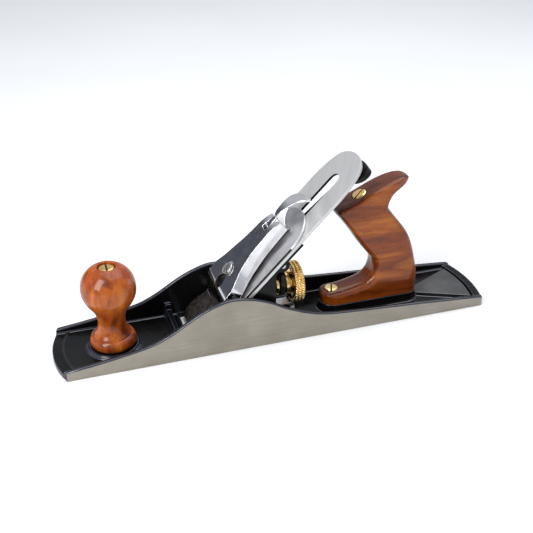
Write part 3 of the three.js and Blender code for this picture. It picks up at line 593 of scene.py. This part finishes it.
def body_casting():
    top = 60
    body = common(slab(sole_plan(0, 0, 0), 0, top), web(cheek_outline(), -SOLE_WIDTH, SOLE_WIDTH))
    rings = []
    for i in range(9):
        turn = math.radians(90) * i / 8
        rings.append((WALL + FLOOR_FILLET * (1 - math.sin(turn)),
                      FLOOR_Z + FLOOR_FILLET * (1 - math.cos(turn)), 1 - i / 8))
    rings.append((WALL, top + 5, 0))
    hollow = loft([[(x, y, z) for x, y in sole_plan(side, OPEN_END, HEEL_RIM + slope)]
                   for side, z, slope in rings])
    cut(body, hollow, slab(sole_plan(WALL, OPEN_END, OPEN_END), HEEL_RIM_Z, top + 5))

    wall = SOLE_WIDTH / 2 - WALL + GAP
    additions = [box(-84, -80, -wall, wall, 3, 11)]
    for side in (-1, 1):
        y0, y1 = sorted((side * 25, side * wall))
        additions.append(web(Outline(-85, 3).line((-85, 14.2)).quad(-85, 15.7, -83.4, 15.7)
                             .line((-81.1, 15.7)).quad(-79.5, 15.7, -79.5, 14.2).line((-79.5, 3)), y0, y1))
    additions.append(moved(turned([(0, 3), (21.2, 3), (20.9, 4.2), (20.4, 4.7), (19.7, 4.8), (19.4, 5.9),
                                   (19, KNOB_PAD_Z), (0, KNOB_PAD_Z)]), Matrix.Translation((KNOB_X, 0, 0))))
    additions.append(box(-48, -12, -17, 17, 3, FROG_SEAT_Z))
    additions.append(box(-6, 3, -6, 6, 3, 14.4))
    foot = 1.6
    additions.append(loft([[(x, y, z) for x, y in stadium(38.8 - spread, 124.6 + spread, 11.8 + spread)]
                           for spread, z in ((foot, 3), (foot * 0.9, FLOOR_Z), (foot * 0.35, FLOOR_Z + 0.8),
                                             (0, FLOOR_Z + 2), (0, TOTE_PAD_Z))]))
    panel = loft([[(122 - out, -3.5 - out, z), (175, -28 - out, z),
                   (175, 28 + out, z), (122 - out, 3.5 + out, z)]
                  for out, z in ((2.2, 3), (1.4, FLOOR_Z + 0.2), (0.4, FLOOR_Z + 1.2), (0, HEEL_PANEL_Z))])
    additions.append(common(panel, slab(sole_plan(WALL + 1, 0, HEEL_RIM + 1.5), 2.5, 10)))
    additions.append(toe_ridge())
    join(body, *additions)

    slope_x = BED_X + 3.5 * ROOT2
    mouth = [(MOUTH_FRONT_X, -2), (slope_x - 2, -2), (slope_x + 6, 6),
             (MOUTH_FRONT_X - 4, 6), (MOUTH_FRONT_X, 2)]
    foot_x = TOTE_BOLT_TOP.x - math.sin(TOTE_BOLT_TILT) * 94
    tools = [web(mouth, -MOUTH_HALF, MOUTH_HALF),
             bar(3.3, -10, 5, Matrix.Translation((0, 0, ADJUST_Z)) @ ALONG_X),
             bar_z(KNOB_X, 0, 3.3, 2, 10),
             bar_z(TOE_SCREW_X, 0, 2.6, 3, 15),
             box(foot_x - 4.5, foot_x + 4.5, -4, 4, 4.5, 15)]
    tools += [bar_z(FROG_SCREW_X, side * FROG_SCREW_Y, 3.3, 2, 12) for side in (-1, 1)]
    cut(body, *tools)
    tidy(body)
    body.data.materials.clear()
    for matter in CASTING_LOOKS:
        body.data.materials.append(matter)
    for face in body.data.polygons:
        face.material_index = CASTING_LOOKS.index(casting_look(face.center, face.normal))
    weigh_edges(body)
    made = piece("sole_and_cheeks", body, None, "casting", ["body_casting"],
                 edge=1.2, angle=32)
    rounding = made.modifiers["edge"]
    rounding.limit_method = "WEIGHT"
    # The rounding's faces take the edge enamel, lighter and bluer as a painted highlight.
    rounding.material = CASTING_LOOKS.index(EDGE_HIGHLIGHT_ENAMEL)
    rounding.harden_normals = False
    rounding.segments = 4


def casting_look(spot, normal):
    """The look of a face of the casting, by its middle and normal."""
    if normal.z > 0.9 and abs(spot.z - HEEL_PANEL_Z) < 0.1 and spot.x > 121:
        return WORN
    if normal.z > 0.5 and spot.x < -160 and spot.z > FLOOR_Z + 0.5:
        return TOE_WORN
    # The fillets at the foot of the cheeks take the edge enamel, a painted highlight.
    if 0.2 < normal.z < 0.92 and FLOOR_Z < spot.z < FLOOR_Z + FLOOR_FILLET and abs(spot.y) > 25:
        return EDGE_HIGHLIGHT_ENAMEL
    outer = abs(spot.y) > SOLE_WIDTH / 2 - 0.1 and abs(normal.y) > 0.9
    return IRON_SIDE if outer or (normal.z < -0.9 and spot.z < 0.1) else ENAMEL


def weigh_edges(body):
    """Full rounding along the top of the cheeks and rails, less on the other corners, none round the sole."""
    bm = bmesh.new()
    bm.from_mesh(body.data)
    weight = bm.edges.layers.float.new("bevel_weight_edge")
    for edge in bm.edges:
        if len(edge.link_faces) != 2 or edge.calc_face_angle(0) < CASTING_CORNER:
            continue
        low = min(vert.co.z for vert in edge.verts)
        outside = min(abs(vert.co.y) for vert in edge.verts) > SOLE_WIDTH / 2 - WALL - 0.2
        if low > 0.1:
            edge[weight] = 1.0 if outside and low > HEEL_RIM_Z + 0.05 else 0.45
    bm.to_mesh(body.data)
    bm.free()


# ---- Turned fasteners ----
def screw(matter, shank, head, z0, z1, z2, slot_depth=1.2, slot_half=0.6):
    """Slotted round-head screw along Z."""
    profile = [(0, z0), (shank, z0), (shank, z1), (head - 0.2, z1), (head, z1 + 0.25)]
    profile += arc(head - 0.9, z2 - 0.9, 0.9, 0, math.radians(72), 6)
    profile += [(0, z2)]
    made = turned(profile)
    cut(made, box(-head - 1, head + 1, -slot_half, slot_half, z2 - slot_depth, z2 + 1))
    # The slot's walls and floor take the dark iron as painted shade.
    return two_tone(made, matter, DARK_IRON_AND_SHADE, lambda spot, normal: abs(spot.y) < slot_half + 0.01
                and z2 - slot_depth - 0.01 < spot.z < z2 - 0.2)


def nut_head():
    """Round nut with a countersunk slotted head, drawn down from its top face at z = 0."""
    made = turned([(0, -3.6), (3.3, -3.6), (3.3, -16), (3.9, -16), (3.9, -2.6), (5.7, -2.3), (5.85, -2.0),
                   (5.85, -0.2), (5.7, 0.15), (5.3, 0.4), (4, 0.55), (0, 0.62)])
    cut(made, box(-7, 7, -0.65, 0.65, -0.9, 2))
    # The slot's walls and floor take the dark iron as painted shade.
    return two_tone(made, BRASS, DARK_IRON_AND_SHADE, lambda spot, normal: abs(spot.y) < 0.66 and -0.95 < spot.z < 0.3)


def fasteners():
    for side, y in (("left", -FROG_SCREW_Y), ("right", FROG_SCREW_Y)):
        place = Matrix.Translation((FROG_SCREW_X, y, 0))
        ring = turned([(3.3, 0), (5.8, 0), (6, 0.2), (6, 1.2), (5.8, 1.4), (3.3, 1.4), (3.3, 0)])
        piece(f"frog_bolt_washer_{side}", ring, STEEL, "casting", [f"frog_washer_{side}"],
              matrix=Matrix.Translation((FROG_SCREW_X, y, 15 + GAP)))
        piece(f"frog_bolt_{side}", screw(STEEL, 3, 5.4, 2.4, 17, 20.4), None, "casting",
              [f"frog_screw_{side}"], edge=0.15, matrix=place)
    stem = turned([(0, -8.5), (3, -8.5), (3, 8), (4.3, 8), (4.5, 8.2), (4.5, 9.2), (4.3, 9.4),
                   (2.8, 9.4), (2.8, 12), (4.3, 12), (4.5, 12.2), (4.5, 15.3), (4.3, 15.8), (3.9, 16),
                   (0, 16)])
    along_x = Matrix.Translation((0, 0, ADJUST_Z)) @ ALONG_X
    piece("frog_adjuster", cut(stem, box(-5, 5, -0.6, 0.6, 14.8, 17)), STEEL, "frog_screw",
          ["frog_adjusting_screw"], edge=0.12, matrix=along_x)
    plate = join(box(-22, 11.6, -5, 5, 15.3, 16.9), box(9.9, 11.5, -6, 6, 6, 16.9))
    cut(plate, box(9, 12, -3.2, 3.2, 5, ADJUST_Z), bar(3.2, 9, 12, along_x), bar_z(-16, 0, 2.1, 14, 18))
    piece("frog_clip", tidy(plate), STEEL, "frog", ["adjusting_clip"], edge=0.3)
    piece("frog_clip_screw", screw(STEEL, 1.8, 3.4, 11, 17.2, 19.2, 0.8, 0.4), None, "frog",
          ["clip_screw"], edge=0.1, matrix=Matrix.Translation((-16, 0, 0)))
    under = turned([(0, -5.4), (5.6, -5.4), (6.1, -5.1), (6.3, -4.6), (6.3, -2.7), (6.1, -2.5),
                    (3.6, -2.5), (3.6, 2.7), (3.4, 2.9), (0, 2.9)])
    piece("iron_clamp_screw", cut(under, box(-7, 7, -0.7, 0.7, -6, -4.3)), STEEL, "iron_carrier",
          ["cap_iron_screw"], edge=0.12, matrix=BED @ Matrix.Translation((CAP_SCREW_S, 0, 0)))
    turn = Matrix.Rotation(math.radians(62), 4, "Z")
    piece("lever_cap_hold_screw", screw(STEEL, 3, 5.2, -10, 14.9, 17.4), None, "frog",
          ["lever_cap_screw"], edge=0.15,
          matrix=BED @ Matrix.Translation((LEVER_CAP_SCREW_S, 0, 0)) @ turn)


# ---- Depth adjuster ----
def depth_adjuster():
    axis = Matrix.Translation((0, 0, WHEEL_Z)) @ ALONG_X
    hub = turned([(3.5, -0.9), (8.1, -0.9), (8.4, -0.6), (8.4, 1.3), (8.1, 1.6), (5.1, 1.6),
                  (4.8, 1.9), (4.8, 7.1), (5.1, 7.4), (8.5, 7.4), (8.8, 7.7), (8.8, 9.2), (8.4, 9.5),
                  (8.4, 10.1), (8.8, 10.4), (8.8, 11.7), (8.5, 12), (6, 12), (6, 19.4), (3.5, 19.4),
                  (3.5, -0.9)])
    piece("depth_hub", hub, BRASS, "adjuster_hub", ["adjuster_hub"], matrix=axis)
    piece("depth_wheel", knurled_wheel(), BRASS, "adjuster_wheel", ["adjuster_wheel"], angle=50,
          matrix=axis)
    thread = [point for i in range(20) for point in ((3.2, 3 + i), (2.9, 3.5 + i))]
    stud = turned([(0, -13.6), (3.2, -13.6), *thread, (2.7, 23), (0, 23)], 48)
    piece("wheel_stud", stud, STEEL, "frog", ["adjuster_stud"], matrix=axis)


def knurled_wheel():
    """Wheel with three ribs round its rim, each cut across by the same ring of notches."""
    notches, steps, depth = 48, 10, 0.8
    ribs = [point for x in (12.3, 15.1, 17.9) for point in (
        (WHEEL_R - 1.3, x), (WHEEL_R - 0.35, x + 0.35), (WHEEL_R, x + 0.8), (WHEEL_R, x + 1.7),
        (WHEEL_R - 0.35, x + 2.15), (WHEEL_R - 1.3, x + 2.5))]
    face = [(13.6, 20.4), (12.6, 20.1), (10.4, 20.3), (10, 20.4), (8.8, 19.4), (8.4, 19), (6.3, 19),
            (6.3, 12.3)]
    profile = [(6.3, 12.3), (9, 12.3), (9.6, 12.8), (13.2, 12.8), (13.8, 12.3)] + ribs + face
    rings = []
    for i in range(notches * steps):
        turn = math.tau * i / (notches * steps)
        bite = depth * (0.5 - 0.5 * math.cos(notches * turn)) ** 3.5
        rings.append([((r - bite if r > WHEEL_R - 0.5 else r) * math.cos(turn),
                       (r - bite if r > WHEEL_R - 0.5 else r) * math.sin(turn), z) for r, z in profile[:-1]])
    bm = bmesh.new()
    levels = [[bm.verts.new(point) for point in ring] for ring in rings]
    for i, ring in enumerate(levels):
        beyond = levels[(i + 1) % len(levels)]
        for k in range(len(ring)):
            n = (k + 1) % len(ring)
            bm.faces.new((ring[k], beyond[k], beyond[n], ring[n]))
    return to_object(bm)


# ---- Lateral adjuster ----
def lateral_adjuster():
    strip = Outline(LATERAL_DISC_S, 5.4)
    strip.arc(LATERAL_DISC_S, 0, 5.4, math.pi / 2, 1.5 * math.pi)
    strip.line((58, -5.4)).quad(64, -5.4, 67, -9).cubic(72, -12.7, 82.2, -12.2, 82.2, -4)
    strip.line((82.2, 4)).cubic(82.2, 12.2, 72, 12.7, 67, 9).quad(64, 5.4, 58, 5.4)
    side = Outline(-14, -4.5).line((52, -4.5)).quad(62, -4.6, 70, -7.8).quad(76, -9.8, 86, -10)
    side.line((86, -5.6)).quad(76, -5.2, 70, -4.4).quad(62, -2.8, 54, -2.8).line((-14, -2.8))
    lever = common(slab(strip, -20, 0), web(side, -20, 20))
    cut(lever, bar_z(0, 0, 2.5, -6, 0), bar_z(LATERAL_DISC_S, 0, 1.9, -6, 0))
    two_tone(tidy(lever), ENAMEL, GRIP, lambda spot, normal: spot.x > 60)
    piece("lateral_adjuster", lever, None, "lateral_lever", ["lateral_lever"], edge=0.45,
          matrix=LATERAL)
    disc = turned([(0, -4.5), (1.6, -4.5), (1.6, -2.4), (3.8, -2.4), (4, -2.2), (4, -0.5),
                   (3.8, -0.3), (0, -0.3)])
    piece("lateral_roller", disc, STEEL, "lateral_lever", ["lateral_disc"],
          matrix=LATERAL @ Matrix.Translation((LATERAL_DISC_S, 0, 0)))
    rivet = turned([(0, -6.4), (2.2, -6.4), (2.2, -2.4), (3.1, -2.4), (3, -1.9), (2.6, -1.4),
                    (1.8, -1.1), (0, -1)])
    piece("lateral_pivot", rivet, STEEL, "frog", ["lateral_rivet"],
          matrix=BED @ Matrix.Translation((LATERAL_PIVOT_S, 0, 0)))


# ---- Iron and cap iron, drawn in the bed frame ----
def plane_iron():
    edge_s, end = 0.7, IRON_END_S
    plan = Outline(edge_s, -IRON_HALF).line((end - 35, -IRON_HALF))
    plan.cubic(end - 25, -25.2, end - 13.2, -22.8, end - 7.2, -18.4)
    plan.cubic(end - 3.7, -15.3, end, -8, end, 0).cubic(end, 8, end - 3.7, 15.3, end - 7.2, 18.4)
    plan.cubic(end - 13.2, 22.8, end - 25, 25.2, end - 35, IRON_HALF).line((edge_s, IRON_HALF))
    grind = IRON_T / math.tan(math.radians(25))
    bevel = [(edge_s - 1, 0.4), (edge_s - 1, -IRON_T - 1), (edge_s + grind, -IRON_T - 1),
             (edge_s + grind, -IRON_T), (edge_s, -0.1), (edge_s, 0.4)]
    iron = cut(slab(plan, -IRON_T, 0), web(bevel, -30, 30),
               slab(stadium(45 - SLOT_HALF, SLOT_TOP_S, SLOT_HALF), -5, 2), bar_z(46, 0, 9.5, -5, 2))
    # The slot's inner walls are painted black as painted shade inside the slot.
    two_tone(tidy(iron), BLADE, ENAMEL, lambda spot, normal: abs(normal.z) < 0.1 and abs(spot.y) < 10
         and 30 < spot.x < SLOT_TOP_S + 1)
    piece("cutting_iron", iron, None, "iron", ["plane_iron"], edge=0.2, angle=40,
          matrix=IRON)


def cap_iron():
    half, centre = CAP_IRON_HALF, CAP_IRON_ARC_S
    plan = Outline(2.5, -half).arc(centre, 0, half, -math.pi / 2, math.pi / 2, 64).line((2.5, half))
    side = Outline(2.5, GAP).quad(7, 5.6, 14, 5.4).quad(22, 5, 30, CAP_IRON_TOP_H).line((140, CAP_IRON_TOP_H))
    side.line((140, GAP), (30, GAP)).quad(21, 3, 14, 3.2).quad(8, 3.2, 4, GAP)
    cap = common(slab(plan, -2, 9), web(side, -30, 30))
    cut(cap, slab(stadium(54, 71, 4.3), -2, 6), bar_z(CAP_SCREW_S, 0, 3.9, -2, 6),
        box(86.6, 96.4, -3.6, 3.6, -2, 6))
    # A hairline groove ends the hump's face, painted dark as a painted reflection. Known fault: the rounding
    # of its edges stands 0.4 mm above the flat top and cuts into the lever cap's lip at iron_feed_min and
    # all_min.
    cut(cap, box(31.5, 31.6, -30, 30, CAP_IRON_TOP_H - 0.05, 4))
    two_tone(tidy(cap), SATIN, DARK_IRON_AND_SHADE, lambda spot, normal: spot.x < 34)
    piece("chip_breaker", cap, None, "iron", ["cap_iron"], edge=0.45, angle=40,
          matrix=IRON)


# ---- Lever cap ----
# Half widths of the lever cap at places up the bed.
HALVES = [(38, 23.4), (43, 24.2), (50, 24.3), (56, 23.5), (61, 21), (66, 18.4), (71, 16.3), (79, 13.9),
          (88, 11.9), (98, 10.7), (LEVER_CAP_END_S, 9.6)]


def lever_cap_plan(inset):
    lip = 32.3 + inset
    curve = through(HALVES, 6)
    plan = Outline(38, inset - 23.4)
    plan.points = [(s, inset - y) for s, y in curve] + [(s, y - inset) for s, y in reversed(curve)]
    return plan.quad(33.6, 18, lip, 9).line((lip, -9)).quad(33.6, -18, 38, inset - 23.4).points[:-1]


def lever_cap():
    roof = 2.6
    end = LEVER_CAP_END_S
    crown = [(56, 14.6), (62, 15.3), (70, 16.3), (80, 16.9), (103.5, 17)]
    low = CAP_IRON_TOP_H + GAP
    outer = Outline(32.3, low).line((32.3, 3.2)).spline([(37.9, 8.4), (43, 12), (48, 13.9), *crown])
    outer.quad(110, 17, end, 14.8, 12)
    outer.line((end, 6), (80, 5.2), (53.6, 4.4), (53.6, 10.8), (46, 8.6), (36.4, low))
    inner = Outline(52, 0).line((52, 11.4)).spline([(s, h - roof) for s, h in crown]).line((103.5, 0))
    shell = common(slab(lever_cap_plan(0), 0, 25), web(outer, -30, 30))
    hollow = common(slab(lever_cap_plan(roof), -1, 26), web(inner, -30, 30))
    join(cut(shell, hollow), bar_z(SPRING_RIVET_S, 0, 4, 5.2, 15.5))
    slot = CAM_SLOT_HALF
    cut(shell, box(104, 125, -slot, slot, 0, 30), box(100, 125, -slot, slot, 0, 14.4),
        bar_y(CAM_S, CAM_H, 2.3, -8.7, 20), bar_z(50.5, 0, 5.9, 0, 30),
        slab(stadium(48, LEVER_CAP_SCREW_S + 3.5, 3.5), 0, 30), bar_z(LEVER_CAP_SCREW_S, 0, 6, 14.6, 30),
        bar_z(SPRING_RIVET_S, 0, 2.1, 3, 9.9))
    skin = 1.2

    def inside(spot, normal):
        half = next((w for s, w in through(HALVES, 6) if s >= spot.x), HALVES[-1][1])
        roof_h = next((h for s, h in through(crown, 6) if s >= spot.x), crown[-1][1])
        return 44 < spot.x < 103.6 and abs(spot.y) < half - skin and spot.z < roof_h - skin

    # The inside faces take the dark iron: the underside is rough cast, and its dark colour is also painted
    # shade under the cap.
    two_tone(tidy(shell), POLISHED, DARK_IRON_AND_SHADE, inside)
    piece("lever_cap_body", shell, None, "lever_cap", ["lever_cap"], edge=0.35, angle=34,
          matrix=BED)
    pin = turned([(0, -8.4), (1.8, -8.4), (2, -8.2), (2, 9), (1.8, 9.2), (0, 9.2)])
    on_pivot = BED @ Matrix.Translation((CAM_S, 0, CAM_H)) @ ALONG_Y
    piece("cam_pivot", pin, STEEL, "lever_cap", ["cam_pin"], matrix=on_pivot)
    leaf = [(82.5, 4.1), (96, 4.1), (105, 3.1), (117, 3.1), (117, 3.9), (105, 3.9), (96, 4.9), (82.5, 4.9)]
    spring = cut(web(leaf, -5.5, 5.5), bar_z(SPRING_RIVET_S, 0, 2.1, 2, 7))
    piece("cap_spring", spring, STEEL, "lever_cap", ["lever_cap_spring"], edge=0.15, matrix=BED)
    rivet = turned([(0, 3), (2.4, 3), (2.9, 3.2), (3.2, 3.8), (1.8, 3.8), (1.8, 9.5), (0, 9.5)])
    piece("cap_spring_rivet", rivet, STEEL, "lever_cap", ["spring_rivet"],
          matrix=BED @ Matrix.Translation((SPRING_RIVET_S, 0, 0)))


def cam_lever():
    """Barrel on the pin, and a paddle whose sections run from the top curve to the bottom one."""
    s, h = CAM_S, CAM_H
    neck = CAM_SLOT_HALF - GAP
    top = Outline(s, h + CAM_R).line((s + 7, h + 6.2)).quad(s + 9, h + 7.1, s + 11, h + 7.2, 14)
    top.cubic(s + 22, h + 7.4, s + 33, h + 4.6, s + 35, h - 6.5, 24)
    under = Outline(s + 2, h - 5).line((s + 6.5, h - 6))
    under.cubic(s + 10.5, h - 1, s + 13, h + 2.8, s + 21, h + 3.8, 14)
    under.cubic(s + 27, h + 4.2, s + 31.5, h, s + 33.8, h - 6.7, 24)
    halves = [(0, neck), (10, neck), (13, 3.2), (17.5, 4), (21.5, 5.3), (25, 6.4), (29, 7.2),
              (32.2, 7), (34.2, 5), (35, 3.8)]
    widths = through(halves, 6)
    squareness = 0.32
    sections = []
    for (ts, th), (us, uh) in zip(top.points, under.points):
        middle = (ts + us) / 2 - s
        near = min(range(len(widths)), key=lambda k: abs(widths[k][0] - middle))
        half = widths[near][1]
        ring = []
        for k in range(40):
            turn = math.tau * k / 40
            across = math.copysign(abs(math.cos(turn)) ** squareness, math.cos(turn))
            up = math.copysign(abs(math.sin(turn)) ** squareness, math.sin(turn))
            ring.append(((ts + us) / 2 + (ts - us) / 2 * up, half * across,
                         (th + uh) / 2 + (th - uh) / 2 * up))
        sections.append(ring)
    paddle = loft(sections)
    lever = join(paddle, bar_y(s, h, CAM_R, -neck, neck), bar_y(s + 0.2, h - 0.6, CAM_R, -neck, neck))
    cut(lever, bar_y(s, h, 2.3, -20, 20))
    piece("cam_clamp_lever", tidy(lever, 0.2), POLISHED, "cam_lever", ["cam_lever"],
          edge=0.2, angle=45, matrix=BED)


# ---- Handles ----
def front_knob():
    foot = KNOB_PAD_Z + GAP
    seat = KNOB_NUT_Z - 2.9
    profile = Outline(4.2, foot).line((16.2, foot)).quad(18.3, 8.2, 17.5, 11.6).quad(16.9, 14.2, 15, 15.3)
    profile.line((14.3, 15.5), (14.2, 16.0)).quad(10.7, 20.6, 10.5, 26.5, 14).quad(10.6, 33.5, 14, 38.5, 14)
    profile.cubic(16.6, 42.4, 20.9, 47.2, 20.9, 55, 20).cubic(20.9, 64, 15.8, 70.8, 8.2, 73.4, 20)
    profile.line((7.3, 73.5), (6.8, 73.1), (6.7, 72.6), (6.7, seat), (4.2, seat), (4.2, foot))
    piece("knob", turned(profile.points, 128), KNOB_WOOD, "casting", ["front_knob"], angle=40,
          matrix=Matrix.Translation((KNOB_X, 0, 0)))
    tilt = Matrix.Rotation(math.radians(-92), 4, "Z")
    piece("knob_brass_nut", nut_head(), None, "casting", ["knob_nut"], edge=0.12,
          matrix=Matrix.Translation((KNOB_X, 0, KNOB_NUT_Z)) @ tilt)
    rod = turned([(0, 2.4), (2.8, 2.4), (3, 2.6), (3, KNOB_NUT_Z - 4), (0, KNOB_NUT_Z - 4)])
    piece("knob_rod", rod, STEEL, "casting", ["knob_bolt"],
          matrix=Matrix.Translation((KNOB_X, 0, 0)))


TOTE_ROUNDING = 5.6
TOTE_VOXEL = 0.75
HORN_Z = 88         # above this height the handle ends in the horn's own plan
HORN_X = 86
HORN_REACH = 24.6
TOTE_SPARE = 6      # extra length below the handle's foot, cut off once the corners are rounded


def tote_outline():
    base = TOTE_PAD_Z + GAP - TOTE_SPARE
    side = Outline(120, base).quad(124, base, 123.8, 17)
    side.spline([(121.8, 30), (117.6, 48), (113.4, 60.8), (108.2, 70.2), (97, 84.6), (92, 91.6)], 6)
    side.quad(90.4, 100.6, 97.4, 105.2).line((103.4, 108.4))
    side.quad(110, 111.4, 109.6, 114).quad(107, 117, 98, 114.8)
    side.quad(87, 112, 77, 107.2).quad(67, 102.2, 57, 98).quad(46, 95.5, 48.7, 90.5)
    side.spline([(59.3, 76.8), (69.4, 62), (79, 49.6)], 8).quad(84, 44, 82.6, 37.8)
    side.quad(80.8, 29, 71, 25.8).quad(60, 22.6, 50, 22).quad(39, 21.6, 39, 16).quad(39, base, 43, base)
    return side.line(*[(43 + 77 * i / 20, base) for i in range(1, 20)]).points


def inner_radius(points, normals, i):
    """Radius of the largest circle inside a closed outline that touches it at point i."""
    radius = 60.0
    x, z = points[i]
    for px, pz in points:
        depth = -((x - px) * normals[i][0] + (z - pz) * normals[i][1])
        if depth > 1e-6:
            radius = min(radius, ((x - px) ** 2 + (z - pz) ** 2) / (2 * depth))
    return radius


def smooth_step(low, high, value):
    t = min(max((value - low) / (high - low), 0), 1)
    return t * t * (3 - 2 * t)


def rear_handle():
    """The outline's rings move in towards both flat sides, less at the base and along the top facet."""
    outline = tote_outline()
    count = len(outline)
    normals = []
    for i in range(count):
        (x0, z0), (x1, z1) = outline[i - 1], outline[(i + 1) % count]
        length = math.hypot(x1 - x0, z1 - z0)
        normals.append((-(z1 - z0) / length, (x1 - x0) / length))
    reach = []
    for i, (x, z) in enumerate(outline):
        round_part = smooth_step(TOTE_PAD_Z + 1, TOTE_PAD_Z + 12, z) * (1 - smooth_step(90, 99, z))
        reach.append(min(TOTE_ROUNDING * (0.32 + 0.68 * round_part),
                         0.85 * inner_radius(outline, normals, i)))
    reach = [sum(reach[(i + k) % count] for k in range(-3, 4)) / 7 for i in range(count)]
    rings = []
    for k in range(25):
        y = -math.cos(math.pi * k / 24)
        inward = 1 - math.sqrt(1 - abs(y) ** 3.4)
        rings.append([(x + nx * reach[i] * inward, TOTE_HALF * y, z + nz * reach[i] * inward)
                      for i, ((x, z), (nx, nz)) in enumerate(zip(outline, normals))])
    horn = Outline(30, -TOTE_HALF).line((HORN_X, -TOTE_HALF))
    horn.points += [(HORN_X + HORN_REACH * math.cos(a), TOTE_HALF * math.sin(a))
                    for a in (math.radians(-90 + 7.5 * k) for k in range(1, 25))]
    horn.line((30, TOTE_HALF))
    plan = join(slab(stadium(39, 124.2, TOTE_HALF), 0, HORN_Z), slab(horn, HORN_Z - 0.01, 125))
    tote = common(loft(rings), plan)
    remesh = tote.modifiers.new("grain", "REMESH")
    remesh.mode = "VOXEL"
    remesh.voxel_size = TOTE_VOXEL
    rounding = tote.modifiers.new("round", "SMOOTH")
    rounding.factor, rounding.iterations = 0.5, 9
    bake(tote)
    cut(tote, box(0, 160, -30, 30, -10, TOTE_PAD_Z + GAP))
    half_way = TOTE_BOLT @ Matrix.Translation((0, 0, -50))
    cut(tote, bar(4.2, -60, 60, half_way), bar(6.3, -2.4, 10, TOTE_BOLT),
        bar_z(TOE_SCREW_X, 0, 2.6, 5, 30), bar_z(TOE_SCREW_X, 0, 5.9, 19.6, 30))
    piece("tote", tote, HANDLE_WOOD, "casting", ["rear_handle"], angle=50)
    slot_turn = Matrix.Rotation(math.radians(32), 4, "Z")
    piece("tote_brass_nut", nut_head(), None, "casting", ["handle_nut"], edge=0.12,
          matrix=TOTE_BOLT @ slot_turn)
    rod = turned([(0, -98), (2.8, -98), (3, -97.8), (3, -4), (0, -4)])
    piece("tote_rod", rod, STEEL, "casting", ["handle_bolt"], matrix=TOTE_BOLT)
    piece("tote_toe_screw", screw(BRASS, 2.3, 5.6, 4, 20, 22.4), None, "casting",
          ["handle_toe_screw"], edge=0.15,
          matrix=Matrix.Translation((TOE_SCREW_X, 0, 0)) @ Matrix.Rotation(math.radians(68), 4, "Z"))


# ---- Pieces that keep the part's own shape ----
def keep(node, matter, edge):
    kept = NODES[node]
    kept.data.materials.clear()
    kept.data.materials.append(matter)
    flat = kept.modifiers.new("flat", "DECIMATE")
    flat.decimate_type = "DISSOLVE"
    flat.angle_limit = math.radians(1)
    soften(kept, edge, 3, 32)


# ---- Setting, in metres ----
FLOOR_HALF = 3.0
FLOOR_TOP = -0.0002
CAMERA_PLACE = (-0.1884, -0.5578, 0.3840)
CAMERA_AZIMUTH = math.radians(-18.028)
CAMERA_ELEVATION = math.radians(29.553)
CAMERA_LENS = 57.98
DARK_SIDE = Vector((-0.56, 0.81, 0.14)).normalized()


def stage():
    floor = box(-FLOOR_HALF, FLOOR_HALF, -FLOOR_HALF, FLOOR_HALF, -0.02, FLOOR_TOP)
    floor.name = "floor"
    m = Matter("floor", (0.83, 0.84, 0.86), 0.6)
    m.colour(m.ramp(m.noise(3, 3), (0.3, (0.82, 0.83, 0.85)), (0.7, (0.86, 0.87, 0.89))))
    m.bump(m.noise(500, 3), 0.00005)
    floor.data.materials.append(m.material)


def camera():
    data = bpy.data.cameras.new("camera")
    view = bpy.data.objects.new("camera", data)
    bpy.context.collection.objects.link(view)
    data.lens, data.sensor_width, data.clip_end = CAMERA_LENS, 36, 20
    level = math.cos(CAMERA_ELEVATION)
    back = Vector((math.sin(CAMERA_AZIMUTH) * level, -math.cos(CAMERA_AZIMUTH) * level,
                   math.sin(CAMERA_ELEVATION)))
    view.location = CAMERA_PLACE
    view.rotation_mode = "QUATERNION"
    view.rotation_quaternion = back.to_track_quat("Z", "Y")
    bpy.context.scene.camera = view


def area_light(name, place, target, width, height, power, colour=(1, 1, 1)):
    data = bpy.data.lights.new(name, "AREA")
    data.shape = "RECTANGLE"
    data.size, data.size_y, data.energy, data.color = width, height, power, colour
    lamp = bpy.data.objects.new(name, data)
    bpy.context.collection.objects.link(lamp)
    lamp.location = place
    lamp.rotation_mode = "QUATERNION"
    lamp.rotation_quaternion = (Vector(target) - Vector(place)).to_track_quat("-Z", "Y")


def lighting():
    """Soft room light from all round, dimmer and cooler beyond the plane's far side."""
    world = bpy.data.worlds.new("room")
    bpy.context.scene.world = world
    world.use_nodes = True
    tree = world.node_tree
    place = tree.nodes.new("ShaderNodeTexCoord")
    dot = tree.nodes.new("ShaderNodeVectorMath")
    dot.operation = "DOT_PRODUCT"
    dot.inputs[1].default_value = DARK_SIDE
    tree.links.new(place.outputs["Generated"], dot.inputs[0])
    ramp = tree.nodes.new("ShaderNodeValToRGB")
    ramp.color_ramp.elements[0].position = 0.90
    ramp.color_ramp.elements[0].color = (0.80, 0.83, 0.88, 1)
    ramp.color_ramp.elements[1].position = 0.975
    ramp.color_ramp.elements[1].color = (0.13, 0.14, 0.17, 1)
    tree.links.new(dot.outputs["Value"], ramp.inputs["Fac"])
    background = tree.nodes["Background"]
    tree.links.new(ramp.outputs["Color"], background.inputs["Color"])
    background.inputs["Strength"].default_value = 0.68
    area_light("window", (-0.75, -0.45, 0.7), (0, 0, 0), 0.4, 0.9, 10, (1.0, 0.98, 0.95))
    area_light("sky", (0.3, 0.2, 1.3), (0, 0, 0), 1.4, 1.4, 14)
    bpy.context.scene.view_settings.view_transform = "Standard"


body_casting()
fasteners()
depth_adjuster()
lateral_adjuster()
plane_iron()
cap_iron()
lever_cap()
cam_lever()
front_knob()
rear_handle()
keep("frog", ENAMEL, 0.6)
keep("yoke", DARK_IRON_AND_SHADE, 0.5)
keep("yoke_pin", STEEL, 0.2)
stage()
camera()
lighting()
